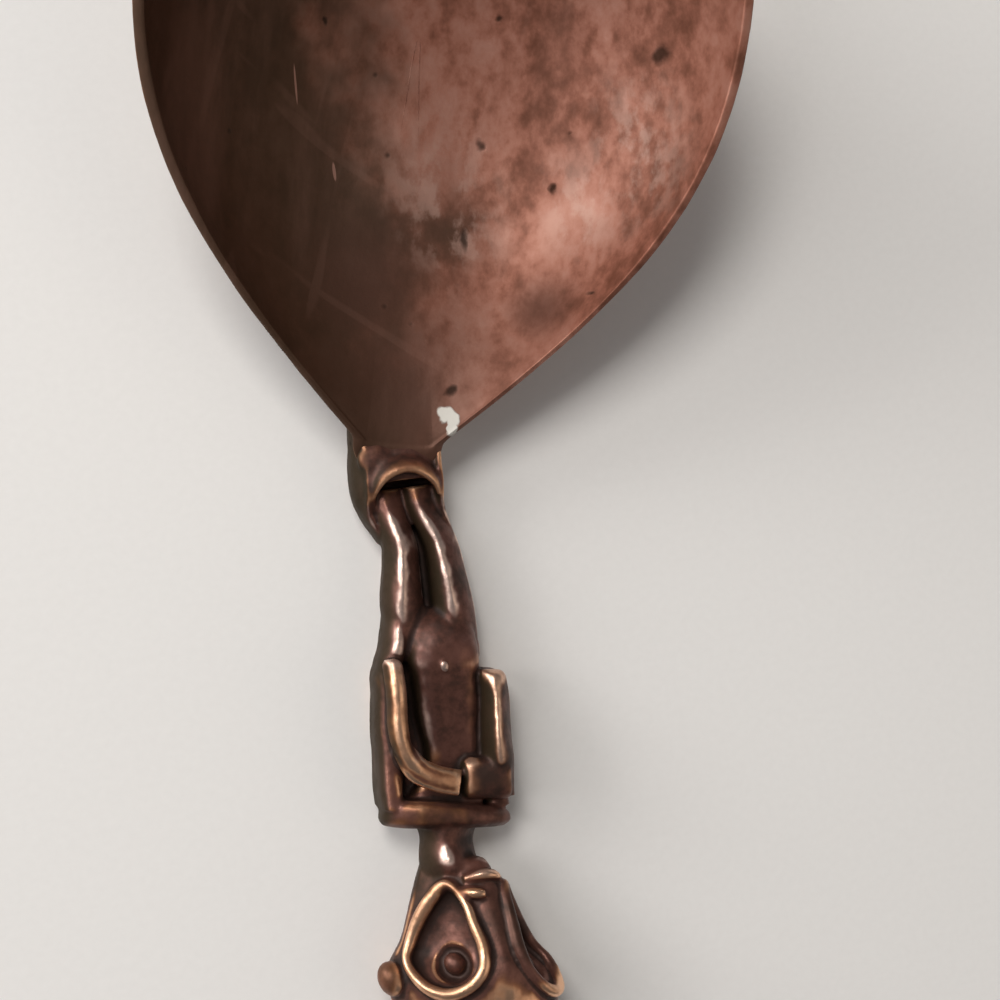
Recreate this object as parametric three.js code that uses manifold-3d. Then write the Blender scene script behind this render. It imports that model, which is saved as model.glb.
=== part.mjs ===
// A cast metal spoon with a deep oval bowl, whose handle is a standing figure.
// Millimetres. +Z is up and +Y runs from the handle toward the tip of the bowl.
// The spoon is modelled as it lies on a table, face up: on the underside of its bowl and on the
// back of the figure's head. The origin is the middle of the worn flat under the bowl.
// The metal is one pour. Its pieces here are the ones that the maker's wax model is pressed
// together from: a bowl, a cuff, legs, a trunk, arms, a yoke, a neck and a head with its features.

import * as THREE from 'three';
import { mergeVertices } from 'three/addons/utils/BufferGeometryUtils.js';
import Module from 'manifold-3d';

// Bowl, measured in the plane of its rim, from the throat where the handle joins
const bowlLength = 95;
const bowlHalfWidth = 36.4;
const widestFromThroat = 52;
const throatHalfWidth = 6;
const flareDegrees = 46;
const flareReach = 27;
const shoulderReach = 20;
const tipShoulderReach = 24;
const tipReach = 20;
const bowlDepth = 21.5;
const bowlFullness = 0.68;
const throatSlope = 1.35;
const throatNarrowness = 8;
const throatEasing = 1;
const deepestFromThroat = 50;
const rimWidth = 1.8;
const bowlWall = 2;
const rimCrown = 0.35;
const innerTail = 0.5;
const outerTail = 5;

// How the bowl is set on the handle
const bowlTiltDegrees = 23;
const bowlTurnDegrees = 11;

// Lengths along the handle, from the throat to the crown of the head
const cuffLength = 8;
const footInset = 2.2;
const legLength = 17;
const trunkLength = 19.8;
const yokeLength = 3.8;
const neckLength = 4.6;
const headLength = 27.5;

// Heights over the table
const backLift = 1;
const wornFlat = 0.35;

// Cuff that holds the feet
const cuffKeel = 6.6;
const cuffEndHalfWidth = 5;
const lintelFromThroat = 4.6;
const lintelRise = 0.9;
const lintelHalfWidth = 5.5;
const mouthArch = 0.5;

// Legs
const footHalfWidth = 2.2;
const footTop = 6.6;
const footBottom = 2;
const calfHalfWidth = 2.35;
const thighHalfWidth = 2.8;
const legTop = 7;
const legSlot = 0.8;

// Trunk
const hipMargin = 0.1;
const hipThickness = 2;
const waistHalfWidth = 4.5;
const chestHalfWidth = 5;
const hipTop = 8;
const chestTop = 6.9;
const bellyTop = 8.5;
const bellyLength = 13;
const navelRadius = 0.8;
const navelFromHip = 4.2;

// Arms, each bent like a hairpin: down the flank, round at the elbow and back to the hand
const armHalfWidth = 1.55;
const armGap = 0.4;
const upperArmRise = 2.3;
const forearmRise = 2.3;
const armSlit = 0.4;
const elbowFromHip = 2.8;
const wristRadius = 2.4;
const handHalfWidth = 1.8;
const handRise = 1.7;
const handGap = 0.4;
const handsMeet = 1.4;
const handGroove = 0.9;

// Yoke of the shoulders
const yokeMargin = 0.1;
const yokeTop = 10;
const yokeFrontRound = 0.4;
const yokeBackRound = 0.5;

// Neck
const neckHalfWidth = 3.8;
const neckTop = 8.3;
const neckFlare = 0.4;
const neckBackLift = 2;

// Head
const chinHalfWidth = 3.8;
const chinTop = 9.6;
const eyeLineFromChin = 8.9;
const eyeLineHalfWidth = 7.3;
const eyeLineTop = 13.4;
const earLineFromChin = 14;
const earLineHalfWidth = 10.1;
const headTop = 14.4;
const headWaist = 5.4;
const faceShift = 3.2;
const crownTaper = 0.6;

// Features of the face
const eyeFromChin = 8.6;
const eyeHalfLength = 6.3;
const eyeHalfWidth = 3;
const eyeLean = 0.26;
const ridgeHalfWidth = 0.9;
const ringRadius = 0.7;
const ringLift = 0.35;
const eyeCupDepth = 1.6;
const eyeBeadRadius = 1.4;
const eyeBeadHeight = 0.85;
const eyeBeadBack = 1.8;
const lowerLipHalfLength = 2.5;
const lowerLipArch = 0.2;
const lowerLipAcross = 0.6;
const upperLipHalfLength = 1.3;
const upperLipAcross = -0.3;
const lipRadius = 0.5;
const lipFromChin = 0.85;
const lipSlit = 0.6;
const earRadius = 2;
const earLength = 4.4;
const earHeight = 6.2;

// Running clearance between pieces whose seats are curved
const seatGap = 0.3;

// The figure was shaped by eye: its middle line sways to the side, here as pairs of distance from
// the throat and sway, and from the hips on its right side lies further back than its left.
const sway = [[0, 0], [7, 0.2], [14, 1.7], [23, 1.5], [31, 1.3], [38, 0.7], [46, 0.1], [51, -0.6],
  [56, -0.5], [66, 0], [90, 0]];
const skew = 0.18;
const crownSkewLost = 0.8;

// How square a section is: a roof, an ellipse, and fuller shapes up to a box
const roof = 1.4;
const softRoof = 1.6;
const round = 2;
const oval = 2.2;
const full = 2.6;
const square = 3;
const box = 4;

// Fineness of the surfaces
const outlineSteps = 12;
const bowlRings = 10;
const facets = 24;
const loftSteps = 4;
const armSteps = 46;
const ringSteps = 32;
const lipSteps = 12;
const barSides = 12;
const threadSides = 8;

const castMetal = { color: 0x6b4a36, roughness: 0.45, metalness: 1 };
const wornMetal = { color: 0x9a7342, roughness: 0.32, metalness: 1 };

const wasm = await Module();
wasm.setup();

const radians = THREE.MathUtils.degToRad;
const vector = (x, y, z) => new THREE.Vector3(x, y, z);

// Places and widths that follow from the sizes above

const bowlTurn = new THREE.Matrix4().makeRotationZ(-radians(bowlTurnDegrees));
const bowlTilt = new THREE.Matrix4().makeRotationX(radians(bowlTiltDegrees));
const bowlPose = new THREE.Matrix4().multiplyMatrices(bowlTurn, bowlTilt);
const lowest = lowestOfBowl();
const throat = lowest.clone().negate();
throat.z -= wornFlat;
bowlPose.setPosition(throat);

const cuffEnd = throat.y - cuffLength;
const footSeat = cuffEnd + footInset;
const hipLine = cuffEnd - legLength;
const yokeLine = hipLine - trunkLength;
const neckLine = yokeLine - yokeLength;
const chinLine = neckLine - neckLength;

const mouthTop = footTop + mouthArch;
const hipHalfWidth = legSlot / 2 + 2 * thighHalfWidth + hipMargin;
const armsHalfWidth = chestHalfWidth + armGap + 2 * armHalfWidth;
const handleLength = throat.y - chinLine + headLength;
const earBack = throat.y - chinLine + earLineFromChin;

// Solids from rings of points, closed at both ends by a fan to a middle point
function skin(rings, startPoint, endPoint) {
  const middle = (ring) => ring
    .reduce((sum, point) => sum.add(point), vector(0, 0, 0))
    .divideScalar(ring.length);
  const first = startPoint ?? middle(rings[0]);
  const last = endPoint ?? middle(rings[rings.length - 1]);
  const count = rings[0].length;
  const points = [first, ...rings.flat(), last];
  const index = [];
  for (let i = 0; i < count; i++) {
    const next = (i + 1) % count;
    index.push(0, 1 + next, 1 + i);
    for (let r = 0; r + 1 < rings.length; r++) {
      const here = 1 + r * count;
      const beyond = here + count;
      index.push(here + i, here + next, beyond + next);
      index.push(here + i, beyond + next, beyond + i);
    }
    const end = 1 + (rings.length - 1) * count;
    index.push(end + i, end + next, points.length - 1);
  }
  return facingOut(points, index);
}

// A ring-shaped solid: the last ring of points joins the first
function loop(rings) {
  const count = rings[0].length;
  const index = [];
  rings.forEach((ring, r) => {
    const here = r * count;
    const beyond = ((r + 1) % rings.length) * count;
    for (let i = 0; i < count; i++) {
      const next = (i + 1) % count;
      index.push(here + i, here + next, beyond + next);
      index.push(here + i, beyond + next, beyond + i);
    }
  });
  return facingOut(rings.flat(), index);
}

// Turns the faces over where the rings ran the other way round
function facingOut(points, index) {
  let volume = 0;
  for (let i = 0; i < index.length; i += 3) {
    const [a, b, c] = index.slice(i, i + 3).map((n) => points[n]);
    volume += a.dot(vector(0, 0, 0).crossVectors(b, c));
  }
  if (volume < 0) index.reverse();
  const geometry = new THREE.BufferGeometry().setFromPoints(points);
  geometry.setIndex(index);
  geometry.computeVertexNormals();
  return geometry;
}

// A closed section in a plane across the handle. It is widest at its waist, and crown and base
// say how square it is above and below it: 2 is an ellipse, less is a roof, more is a box.
function section({ y, x, half, top, bottom, waist, crown, base, shift }) {
  const ring = [];
  for (let i = 0; i < facets; i++) {
    const angle = (2 * Math.PI * i) / facets;
    const across = Math.cos(angle);
    const up = Math.sin(angle);
    const power = 2 / (up > 0 ? crown : base);
    const reach = up > 0 ? top - waist : waist - bottom;
    const rise = Math.sign(up) * Math.abs(up) ** power;
    const out = Math.sign(across) * Math.abs(across) ** power;
    ring.push(vector(x + half * out + shift * Math.max(rise, 0), y, waist + reach * rise));
  }
  return ring;
}

// The section a share of the way through a few given ones, with a smooth curve in every size
function between(stations, share) {
  const filled = stations.map((s) => ({
    x: throat.x, shift: 0, waist: (s.top + s.bottom) / 2, ...s,
  }));
  const station = {};
  for (const key of Object.keys(filled[0])) {
    const curve = new THREE.SplineCurve(filled.map((s, n) => new THREE.Vector2(n, s[key])));
    station[key] = curve.getPoint(share).y;
  }
  return station;
}

// A body through a few sections
function loft(stations) {
  const steps = (stations.length - 1) * loftSteps;
  const rings = [];
  for (let i = 0; i <= steps; i++) rings.push(section(between(stations, i / steps)));
  return skin(rings);
}

// The section that lies at a given place along the handle
function sectionAt(stations, y) {
  let low = 0;
  let high = 1;
  const halvings = 24;
  for (let i = 0; i < halvings; i++) {
    const middle = (low + high) / 2;
    if (between(stations, middle).y > y) low = middle;
    else high = middle;
  }
  return between(stations, low);
}

// A bar of oval section along a path, whose half width and rise are given by sizeAt. Its side is
// carried along the path without twist, or on a closed path is set afresh at each step.
function sweep({ path, steps, side, sizeAt, sides, closed = false }) {
  const across = side.clone();
  const rings = [];
  for (let i = 0; i < (closed ? steps : steps + 1); i++) {
    if (closed) across.copy(side);
    const here = path.getPointAt(i / steps);
    const along = path.getTangentAt(i / steps);
    across.addScaledVector(along, -across.dot(along)).normalize();
    const up = vector(0, 0, 0).crossVectors(along, across);
    const { half, rise, fullness } = sizeAt(i / steps);
    const ring = [];
    for (let k = 0; k < sides; k++) {
      const angle = (2 * Math.PI * (k + 0.5)) / sides;
      const out = Math.sign(Math.cos(angle)) * Math.abs(Math.cos(angle)) ** (2 / fullness);
      const lift = Math.sign(Math.sin(angle)) * Math.abs(Math.sin(angle)) ** (2 / fullness);
      ring.push(here.clone().addScaledVector(across, half * out).addScaledVector(up, rise * lift));
    }
    rings.push(ring);
  }
  return closed ? loop(rings) : skin(rings);
}

// A round bend about a centre: it starts at centre + from and first runs along toward
class Bend extends THREE.Curve {
  constructor(centre, from, toward, angle) {
    super();
    Object.assign(this, { centre, from, toward, angle });
  }

  getPoint(t, target = new THREE.Vector3()) {
    return target.copy(this.centre)
      .addScaledVector(this.from, Math.cos(this.angle * t))
      .addScaledVector(this.toward, Math.sin(this.angle * t));
  }
}

// Gives a straight piece of the figure the sway and the skew of the whole. What lies in one plane
// across the handle still does afterwards, so the seats between the pieces stay flat.
function shapedByEye(geometry) {
  const place = geometry.attributes.position;
  for (let i = 0; i < place.count; i++) {
    const back = throat.y - place.getY(i);
    const across = place.getX(i) - throat.x;
    const turned = THREE.MathUtils.smoothstep(back, cuffLength, cuffLength + legLength)
      - THREE.MathUtils.smoothstep(back, earBack, handleLength) * crownSkewLost;
    place.setX(i, place.getX(i) + swayAt(back));
    place.setY(i, place.getY(i) - skew * turned * across);
  }
  geometry.computeVertexNormals();
  return geometry;
}

function swayAt(back) {
  const last = sway.length - 2;
  let n = 0;
  while (n < last && sway[n + 1][0] < back) n++;
  const [from, to] = [sway[n], sway[n + 1]];
  return THREE.MathUtils.lerp(from[1], to[1], THREE.MathUtils.smoothstep(back, from[0], to[0]));
}

// Joins and cuts

function toSolid(geometry) {
  const bare = geometry.clone();
  bare.deleteAttribute('normal');
  bare.deleteAttribute('uv');
  const merged = mergeVertices(bare);
  return new wasm.Manifold(new wasm.Mesh({
    numProp: 3,
    vertProperties: merged.attributes.position.array,
    triVerts: new Uint32Array(merged.index.array),
  }));
}

function toGeometry(solid) {
  const mesh = solid.getMesh();
  const geometry = new THREE.BufferGeometry();
  geometry.setAttribute('position', new THREE.BufferAttribute(mesh.vertProperties, 3));
  geometry.setIndex(new THREE.BufferAttribute(mesh.triVerts, 1));
  geometry.computeVertexNormals();
  return geometry;
}

// Blocks larger than the spoon: one ends at the table top, the other at a line across the handle
function cutterBelowTable() {
  const size = 4 * bowlLength;
  return toSolid(new THREE.BoxGeometry(size, size, size).translate(0, 0, -size / 2));
}

function cutterBehind(line) {
  const size = 4 * bowlLength;
  return toSolid(new THREE.BoxGeometry(size, size, size).translate(0, line - size / 2, 0));
}

// Bowl

// Half of the rim's outline as [along, across], from the tail at the throat to the tip
function halfOutline(inset, tail) {
  const point = (along, across) => new THREE.Vector2(along, across);
  const flare = radians(flareDegrees);
  const neck = point(0, throatHalfWidth - inset);
  const widest = point(widestFromThroat, bowlHalfWidth - inset);
  const tip = point(bowlLength - inset, 0);
  const lead = neck.clone().add(point(Math.cos(flare), Math.sin(flare)).multiplyScalar(flareReach));
  const curves = [
    new THREE.QuadraticBezierCurve(point(-tail, 0), point(-tail, neck.y), neck),
    new THREE.CubicBezierCurve(neck, lead, point(widest.x - shoulderReach, widest.y), widest),
    new THREE.CubicBezierCurve(
      widest, point(widest.x + tipShoulderReach, widest.y), point(tip.x, tipReach), tip,
    ),
  ];
  const points = curves.flatMap((curve) => curve.getPoints(outlineSteps).slice(0, outlineSteps));
  return [...points, tip];
}

// The whole outline: one side up to the tip, then the other side back
function outline(inset, tail) {
  const right = halfOutline(inset, tail);
  const left = right.slice(1, -1).reverse().map((p) => new THREE.Vector2(p.x, -p.y));
  return [...right, ...left];
}

// Blurs how far the spokes of a ring reach beyond the oval, over a window of directions
function blur(spokes, window) {
  const apart = (one, other) => Math.atan2(Math.sin(one - other), Math.cos(one - other));
  const widths = spokes.map((_, at) => Math.abs(
    apart(spokes.at(at - 1).turn, spokes[(at + 1) % spokes.length].turn),
  ));
  return spokes.map(({ turn, beyond }) => {
    let sum = 0;
    let weight = 0;
    spokes.forEach((other, at) => {
      const near = widths[at] * Math.exp(-((apart(turn, other.turn) / window) ** 2));
      sum += near * other.beyond;
      weight += near;
    });
    return weight > 0 ? sum / weight : beyond;
  });
}

// One ring of the bowl. At the rim it follows the outline, and further in it relaxes to an oval,
// so that the corner at the throat leaves no crease in the floor. Toward the throat the bowl is
// hollowed by its own slope, and elsewhere by its fullness.
function bowlRing({ edge, depth, share, slope = bowlFullness, lift = 0 }) {
  const spokes = edge.map((p) => {
    const reach = new THREE.Vector2(p.x - deepestFromThroat, p.y);
    const behind = reach.x < 0 ? deepestFromThroat : bowlLength - deepestFromThroat;
    const oval = new THREE.Vector2(reach.x / behind, reach.y / bowlHalfWidth);
    return { reach, oval, turn: Math.atan2(oval.y, oval.x), beyond: oval.length() };
  });
  const eased = share < 1 ? blur(spokes, (1 - share) * throatEasing)
    : spokes.map(({ beyond }) => beyond);
  return spokes.map(({ reach, oval, beyond }, at) => {
    const toThroat = Math.max(-oval.normalize().x, 0) ** throatNarrowness;
    const fullness = THREE.MathUtils.lerp(bowlFullness, slope, toThroat);
    const sag = depth * Math.max(1 - share ** 2, 0) ** fullness;
    const size = (share * THREE.MathUtils.lerp(1, eased[at], share ** 4)) / beyond;
    return vector(reach.y * size, deepestFromThroat + reach.x * size, lift - sag);
  });
}

// The lowest place of the tilted bowl lies on its middle line, which this searches
function lowestOfBowl() {
  const tail = [new THREE.Vector2(-outerTail, 0)];
  const searchSteps = 400;
  let low = null;
  for (let i = 0; i <= searchSteps; i++) {
    const share = i / searchSteps;
    const [place] = bowlRing({ edge: tail, depth: bowlDepth + bowlWall, share });
    place.applyMatrix4(bowlPose);
    if (low === null || place.z < low.z) low = place;
  }
  return low;
}

function makeBowl() {
  const inner = outline(rimWidth, innerTail);
  const outer = outline(0, outerTail);
  const shares = [];
  for (let k = 1; k <= bowlRings; k++) shares.push(Math.sin((Math.PI / 2) * (k / bowlRings)));
  const crown = inner.map((p, i) => p.clone().add(outer[i]).multiplyScalar(0.5));
  const rings = [
    ...shares.map((share) => bowlRing({
      edge: inner, depth: bowlDepth, share, slope: throatSlope,
    })),
    bowlRing({ edge: crown, depth: 0, share: 1, lift: rimCrown }),
    ...shares.reverse().map((share) => bowlRing({
      edge: outer, depth: bowlDepth + bowlWall, share,
    })),
  ];
  const geometry = skin(
    rings,
    vector(0, deepestFromThroat, -bowlDepth),
    vector(0, deepestFromThroat, -bowlDepth - bowlWall),
  );
  geometry.applyMatrix4(bowlPose);
  const solid = toSolid(geometry).subtract(cutterBehind(throat.y)).subtract(cutterBelowTable());
  return toGeometry(solid);
}

// Cuff: it grows out of the throat and rises to a lintel, under which the feet go in between it
// and a sole

function makeCuff() {
  const body = loft([
    {
      y: throat.y, half: throatHalfWidth, top: throat.z + rimCrown,
      bottom: throat.z - cuffKeel, crown: box, base: oval,
    },
    {
      y: throat.y - lintelFromThroat, half: lintelHalfWidth, top: throat.z + lintelRise,
      bottom: backLift, crown: full, base: full,
    },
    {
      y: cuffEnd, half: cuffEndHalfWidth, top: throat.z, bottom: backLift,
      crown: full, base: full,
    },
  ]);
  const length = 2 * (footSeat - cuffEnd);
  const height = mouthTop - footBottom;
  const mouth = new THREE.BoxGeometry(4 * cuffEndHalfWidth, length, height);
  mouth.translate(throat.x, cuffEnd, footBottom + height / 2);
  return toGeometry(toSolid(body).subtract(toSolid(mouth)));
}

// Legs: side by side from the cuff to the hips

function makeLeg(side) {
  const station = (share, half, top, bottom, slot) => ({
    y: THREE.MathUtils.lerp(footSeat, hipLine, share),
    x: throat.x + side * (slot / 2 + half),
    half, top, bottom, crown: oval, base: full,
  });
  return loft([
    station(0, footHalfWidth, footTop, footBottom, seatGap),
    station(0.25, footHalfWidth, footTop, footBottom, seatGap),
    station(0.5, calfHalfWidth, legTop, backLift, legSlot),
    station(0.8, thighHalfWidth, legTop, backLift, legSlot),
    station(1, thighHalfWidth, legTop, backLift, legSlot),
  ]);
}

// Trunk: hips, a round belly with its navel, and a flat chest between the arms

function makeTrunk() {
  const station = (share, half, top) => ({
    y: THREE.MathUtils.lerp(hipLine, yokeLine, share),
    half, top, bottom: backLift, crown: box, base: square,
  });
  const body = loft([
    station(0, hipHalfWidth, hipTop),
    station(hipThickness / trunkLength, hipHalfWidth, hipTop),
    station((elbowFromHip + armGap) / trunkLength, waistHalfWidth, hipTop),
    station(0.5, waistHalfWidth, chestTop),
    station(1, chestHalfWidth, chestTop),
  ]);
  const belly = new THREE.SphereGeometry(1, facets, facets / 2);
  const bellyMiddle = (bellyTop + backLift) / 2;
  belly.scale(waistHalfWidth, bellyLength / 2, bellyTop - bellyMiddle);
  belly.translate(throat.x, hipLine - bellyLength / 2, bellyMiddle);
  const navel = new THREE.SphereGeometry(navelRadius, facets / 2, threadSides);
  navel.translate(throat.x, hipLine - navelFromHip, bellyTop);
  return toGeometry(toSolid(body).add(toSolid(belly)).add(toSolid(navel)));
}

// Arms

function makeArm(side) {
  const turnRadius = (upperArmRise + forearmRise + armSlit) / 2;
  const shoulder = throat.x + side * (chestHalfWidth + armGap + armHalfWidth);
  const out = throat.x + side * (waistHalfWidth + armGap + armHalfWidth);
  const low = backLift + upperArmRise;
  const high = low + 2 * turnRadius;
  const elbow = hipLine - elbowFromHip - turnRadius - forearmRise;
  const palm = chestTop + seatGap + handRise;
  const handLine = yokeLine + handGroove + handHalfWidth;
  const wristOut = (shoulder + out) / 2;
  const inward = wristOut - side * wristRadius;
  const handEnd = throat.x + handsMeet + side * (handGap / 2);
  const wrist = handLine + wristRadius;
  const path = new THREE.CurvePath();
  path.add(new THREE.LineCurve3(
    vector(shoulder, yokeLine + seatGap, low), vector(out, elbow, low),
  ));
  path.add(new Bend(
    vector(out, elbow, low + turnRadius), vector(0, 0, -turnRadius), vector(0, turnRadius, 0),
    Math.PI,
  ));
  path.add(new THREE.LineCurve3(vector(out, elbow, high), vector(wristOut, wrist, palm)));
  path.add(new Bend(
    vector(inward, wrist, palm), vector(side * wristRadius, 0, 0), vector(0, -wristRadius, 0),
    Math.PI / 2,
  ));
  path.add(new THREE.LineCurve3(vector(inward, handLine, palm), vector(handEnd, handLine, palm)));
  const lengths = path.getCurveLengths();
  const total = lengths[lengths.length - 1];
  const bendShare = lengths[0] / total;
  const foreShare = lengths[1] / total;
  const wristShare = lengths[2] / total;
  const sizeAt = (t) => {
    const toForearm = THREE.MathUtils.smoothstep(t, bendShare, foreShare);
    const toHand = THREE.MathUtils.smoothstep(t, foreShare, wristShare);
    const rise = THREE.MathUtils.lerp(upperArmRise, forearmRise, toForearm);
    return {
      half: THREE.MathUtils.lerp(armHalfWidth, handHalfWidth, toHand),
      rise: THREE.MathUtils.lerp(rise, handRise, toHand),
      fullness: THREE.MathUtils.lerp(square, oval, toForearm),
    };
  };
  return sweep({ path, steps: armSteps, sides: barSides, side: vector(1, 0, 0), sizeAt });
}

// Yoke of the shoulders, and the neck

function makeYoke() {
  const station = (share, rounding) => ({
    y: THREE.MathUtils.lerp(yokeLine, neckLine, share),
    half: armsHalfWidth + yokeMargin - rounding, top: yokeTop - rounding, bottom: backLift,
    crown: square, base: square,
  });
  return loft([station(0, yokeFrontRound), station(0.5, 0), station(1, yokeBackRound)]);
}

function makeNeck() {
  const station = (share, half, top) => ({
    y: THREE.MathUtils.lerp(neckLine, chinLine, share),
    half, top, bottom: neckBackLift, crown: round, base: oval,
  });
  return loft([
    station(0, neckHalfWidth + neckFlare, neckTop + neckFlare),
    station(0.4, neckHalfWidth, neckTop),
    station(1, chinHalfWidth, chinTop - neckFlare),
  ]);
}

// Head: narrow at the chin, widest at the ears and round at the crown. The face is a roof whose
// ridge runs between the eyes.

function headStations(grow) {
  const earLine = chinLine - earLineFromChin;
  const crownLength = headLength - earLineFromChin;
  const stations = [
    { y: chinLine, half: chinHalfWidth, top: chinTop, bottom: backLift, crown: round },
    {
      y: chinLine - eyeLineFromChin, half: eyeLineHalfWidth, top: eyeLineTop,
      bottom: 0, crown: roof,
    },
    { y: earLine, half: earLineHalfWidth, top: headTop, bottom: -wornFlat, crown: softRoof },
  ];
  for (const degrees of [35, 60, 80]) {
    const shrink = Math.cos(radians(degrees)) ** crownTaper;
    stations.push({
      y: earLine - crownLength * Math.sin(radians(degrees)),
      half: earLineHalfWidth * shrink,
      top: headWaist + (headTop - headWaist) * shrink,
      bottom: headWaist - (headWaist + wornFlat) * shrink,
      crown: round,
    });
  }
  return stations.map((s, n) => ({
    ...s,
    y: s.y + grow * Math.sign(1 - n),
    half: s.half + grow,
    top: s.top + grow,
    bottom: s.bottom - grow,
    waist: headWaist,
    base: full,
    shift: faceShift,
  }));
}

function headBody(grow) {
  return toSolid(loft(headStations(grow)));
}

// The point of the face at a distance across from its ridge and a distance back from the chin
function faceAt(across, back) {
  const y = chinLine - back;
  const { x, half, top, waist, crown } = sectionAt(headStations(0), y);
  const outward = Math.min(Math.abs(across) / half, 1);
  const level = (1 - outward ** crown) ** (1 / crown);
  return vector(x + across + faceShift * level, y, waist + (top - waist) * level);
}

// A frame on the face: its third axis stands square on the surface there
function faceFrame(across, back) {
  const step = 1;
  const place = faceAt(across, back);
  const right = faceAt(across + step, back).sub(faceAt(across - step, back)).normalize();
  const forward = faceAt(across, back - step).sub(faceAt(across, back + step)).normalize();
  const out = vector(0, 0, 0).crossVectors(right, forward).normalize();
  const ahead = vector(0, 0, 0).crossVectors(out, right);
  return new THREE.Matrix4().makeBasis(right, ahead, out).setPosition(place);
}

// How far an eye's middle lies from the ridge, and the frame there. The eyes lean away from each
// other toward the crown, so their frames are turned.
function eyeAcross(side) {
  return side * (ridgeHalfWidth + ringRadius + eyeHalfWidth);
}

function eyeFrame(side) {
  const lean = new THREE.Matrix4().makeRotationZ(side * Math.atan(eyeLean));
  return faceFrame(eyeAcross(side), eyeFromChin).multiply(lean);
}

function eyeCup(side) {
  const cup = new THREE.SphereGeometry(1, facets, facets / 2);
  cup.scale(eyeHalfWidth - ringRadius, eyeHalfLength - ringRadius, eyeCupDepth);
  return toSolid(cup.applyMatrix4(eyeFrame(side)));
}

function makeHead() {
  const solid = headBody(0)
    .subtract(cutterBelowTable())
    .subtract(eyeCup(-1))
    .subtract(eyeCup(1));
  return toGeometry(solid);
}

// A ring round the eye, narrower toward the mouth. Its points are shares of its half width
// outward and of its half length forward.
function makeEyeRing(side) {
  const outlineShares = [
    [0.1, 1], [0.45, 0.5], [0.75, -0.15], [0.98, -0.55], [0.6, -0.9], [0, -1],
    [-0.6, -0.83], [-1, -0.5], [-1, -0.1], [-0.7, 0.3], [-0.35, 0.75],
  ];
  const out = vector(0, 0, 0).setFromMatrixColumn(eyeFrame(side), 2);
  const places = outlineShares.map(([outward, forward]) => {
    const ahead = forward * eyeHalfLength;
    const across = eyeAcross(side) + side * (outward * eyeHalfWidth - eyeLean * ahead);
    return faceAt(across, eyeFromChin - ahead).addScaledVector(out, ringLift);
  });
  const ring = sweep({
    path: new THREE.CatmullRomCurve3(places, true),
    steps: ringSteps, sides: threadSides, side: out, closed: true,
    sizeAt: () => ({ half: ringRadius, rise: ringRadius, fullness: round }),
  });
  return toGeometry(toSolid(ring).subtract(headBody(seatGap)));
}

function makeEyeBead(side) {
  const bead = new THREE.SphereGeometry(1, facets / 2, threadSides);
  bead.scale(eyeBeadRadius, eyeBeadRadius, eyeBeadHeight);
  bead.translate(0, -eyeBeadBack, seatGap + eyeBeadHeight - eyeCupDepth);
  return bead.applyMatrix4(eyeFrame(side));
}

// A lip: a thin bar bowed across the chin, thinner at its ends
function makeLip({ across, back, halfLength, arch }) {
  const shares = [-1, -0.5, 0, 0.5, 1];
  const places = shares.map((share) => {
    const place = faceAt(across + halfLength * share, back + arch * share ** 2);
    place.z += lipRadius;
    return place;
  });
  const bar = sweep({
    path: new THREE.CatmullRomCurve3(places),
    steps: lipSteps, sides: threadSides, side: vector(0, 0, 1),
    sizeAt: (t) => {
      const taper = lipRadius * (1 + Math.sin(Math.PI * t)) / 2;
      return { half: 1.4 * taper, rise: taper, fullness: round };
    },
  });
  return toGeometry(toSolid(bar).subtract(headBody(seatGap)));
}

function makeEar(side) {
  const ear = new THREE.SphereGeometry(1, facets / 2, threadSides);
  ear.scale(earRadius, earLength / 2, earRadius);
  const across = side * (earLineHalfWidth - earRadius / 4);
  ear.translate(throat.x + across, chinLine - earLineFromChin, earHeight);
  return toGeometry(toSolid(ear).subtract(headBody(seatGap)));
}

// Assembly

const spoon = new THREE.Group();

function addFigure(name, geometry, finish) {
  add(name, shapedByEye(geometry), finish);
}

function add(name, geometry, finish) {
  const mesh = new THREE.Mesh(geometry, new THREE.MeshStandardMaterial(finish));
  mesh.name = name;
  spoon.add(mesh);
}

add('bowl', makeBowl(), castMetal);
addFigure('foot_cuff', makeCuff(), wornMetal);
addFigure('trunk', makeTrunk(), castMetal);
addFigure('shoulder_yoke', makeYoke(), wornMetal);
addFigure('neck', makeNeck(), castMetal);
addFigure('head', makeHead(), castMetal);
for (const [name, side] of [['left', -1], ['right', 1]]) {
  addFigure(`${name}_leg`, makeLeg(side), castMetal);
  addFigure(`${name}_arm`, makeArm(side), wornMetal);
  addFigure(`${name}_eye_ring`, makeEyeRing(side), wornMetal);
  addFigure(`${name}_eye_bead`, makeEyeBead(side), castMetal);
  addFigure(`${name}_ear`, makeEar(side), wornMetal);
}
addFigure('lower_lip', makeLip({
  across: lowerLipAcross, back: lipFromChin, halfLength: lowerLipHalfLength, arch: lowerLipArch,
}), wornMetal);
addFigure('upper_lip', makeLip({
  across: upperLipAcross, back: lipFromChin + 2 * lipRadius + lipSlit,
  halfLength: upperLipHalfLength, arch: 0,
}), wornMetal);

export default spoon;
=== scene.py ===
"""A cast copper-alloy spoon whose handle is a standing figure, dressed around its CAD frame.

Sizes are in millimetres in the part's own frame: the spoon lies on the table, +Z is up and +Y
runs from the figure's head toward the tip of the bowl. Meshes are made in metres.
"""

import logging
import math
from dataclasses import dataclass
from enum import Enum
from operator import mul
from typing import Callable, Sequence

import bmesh
import bpy
from mathutils import Matrix, Vector


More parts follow.
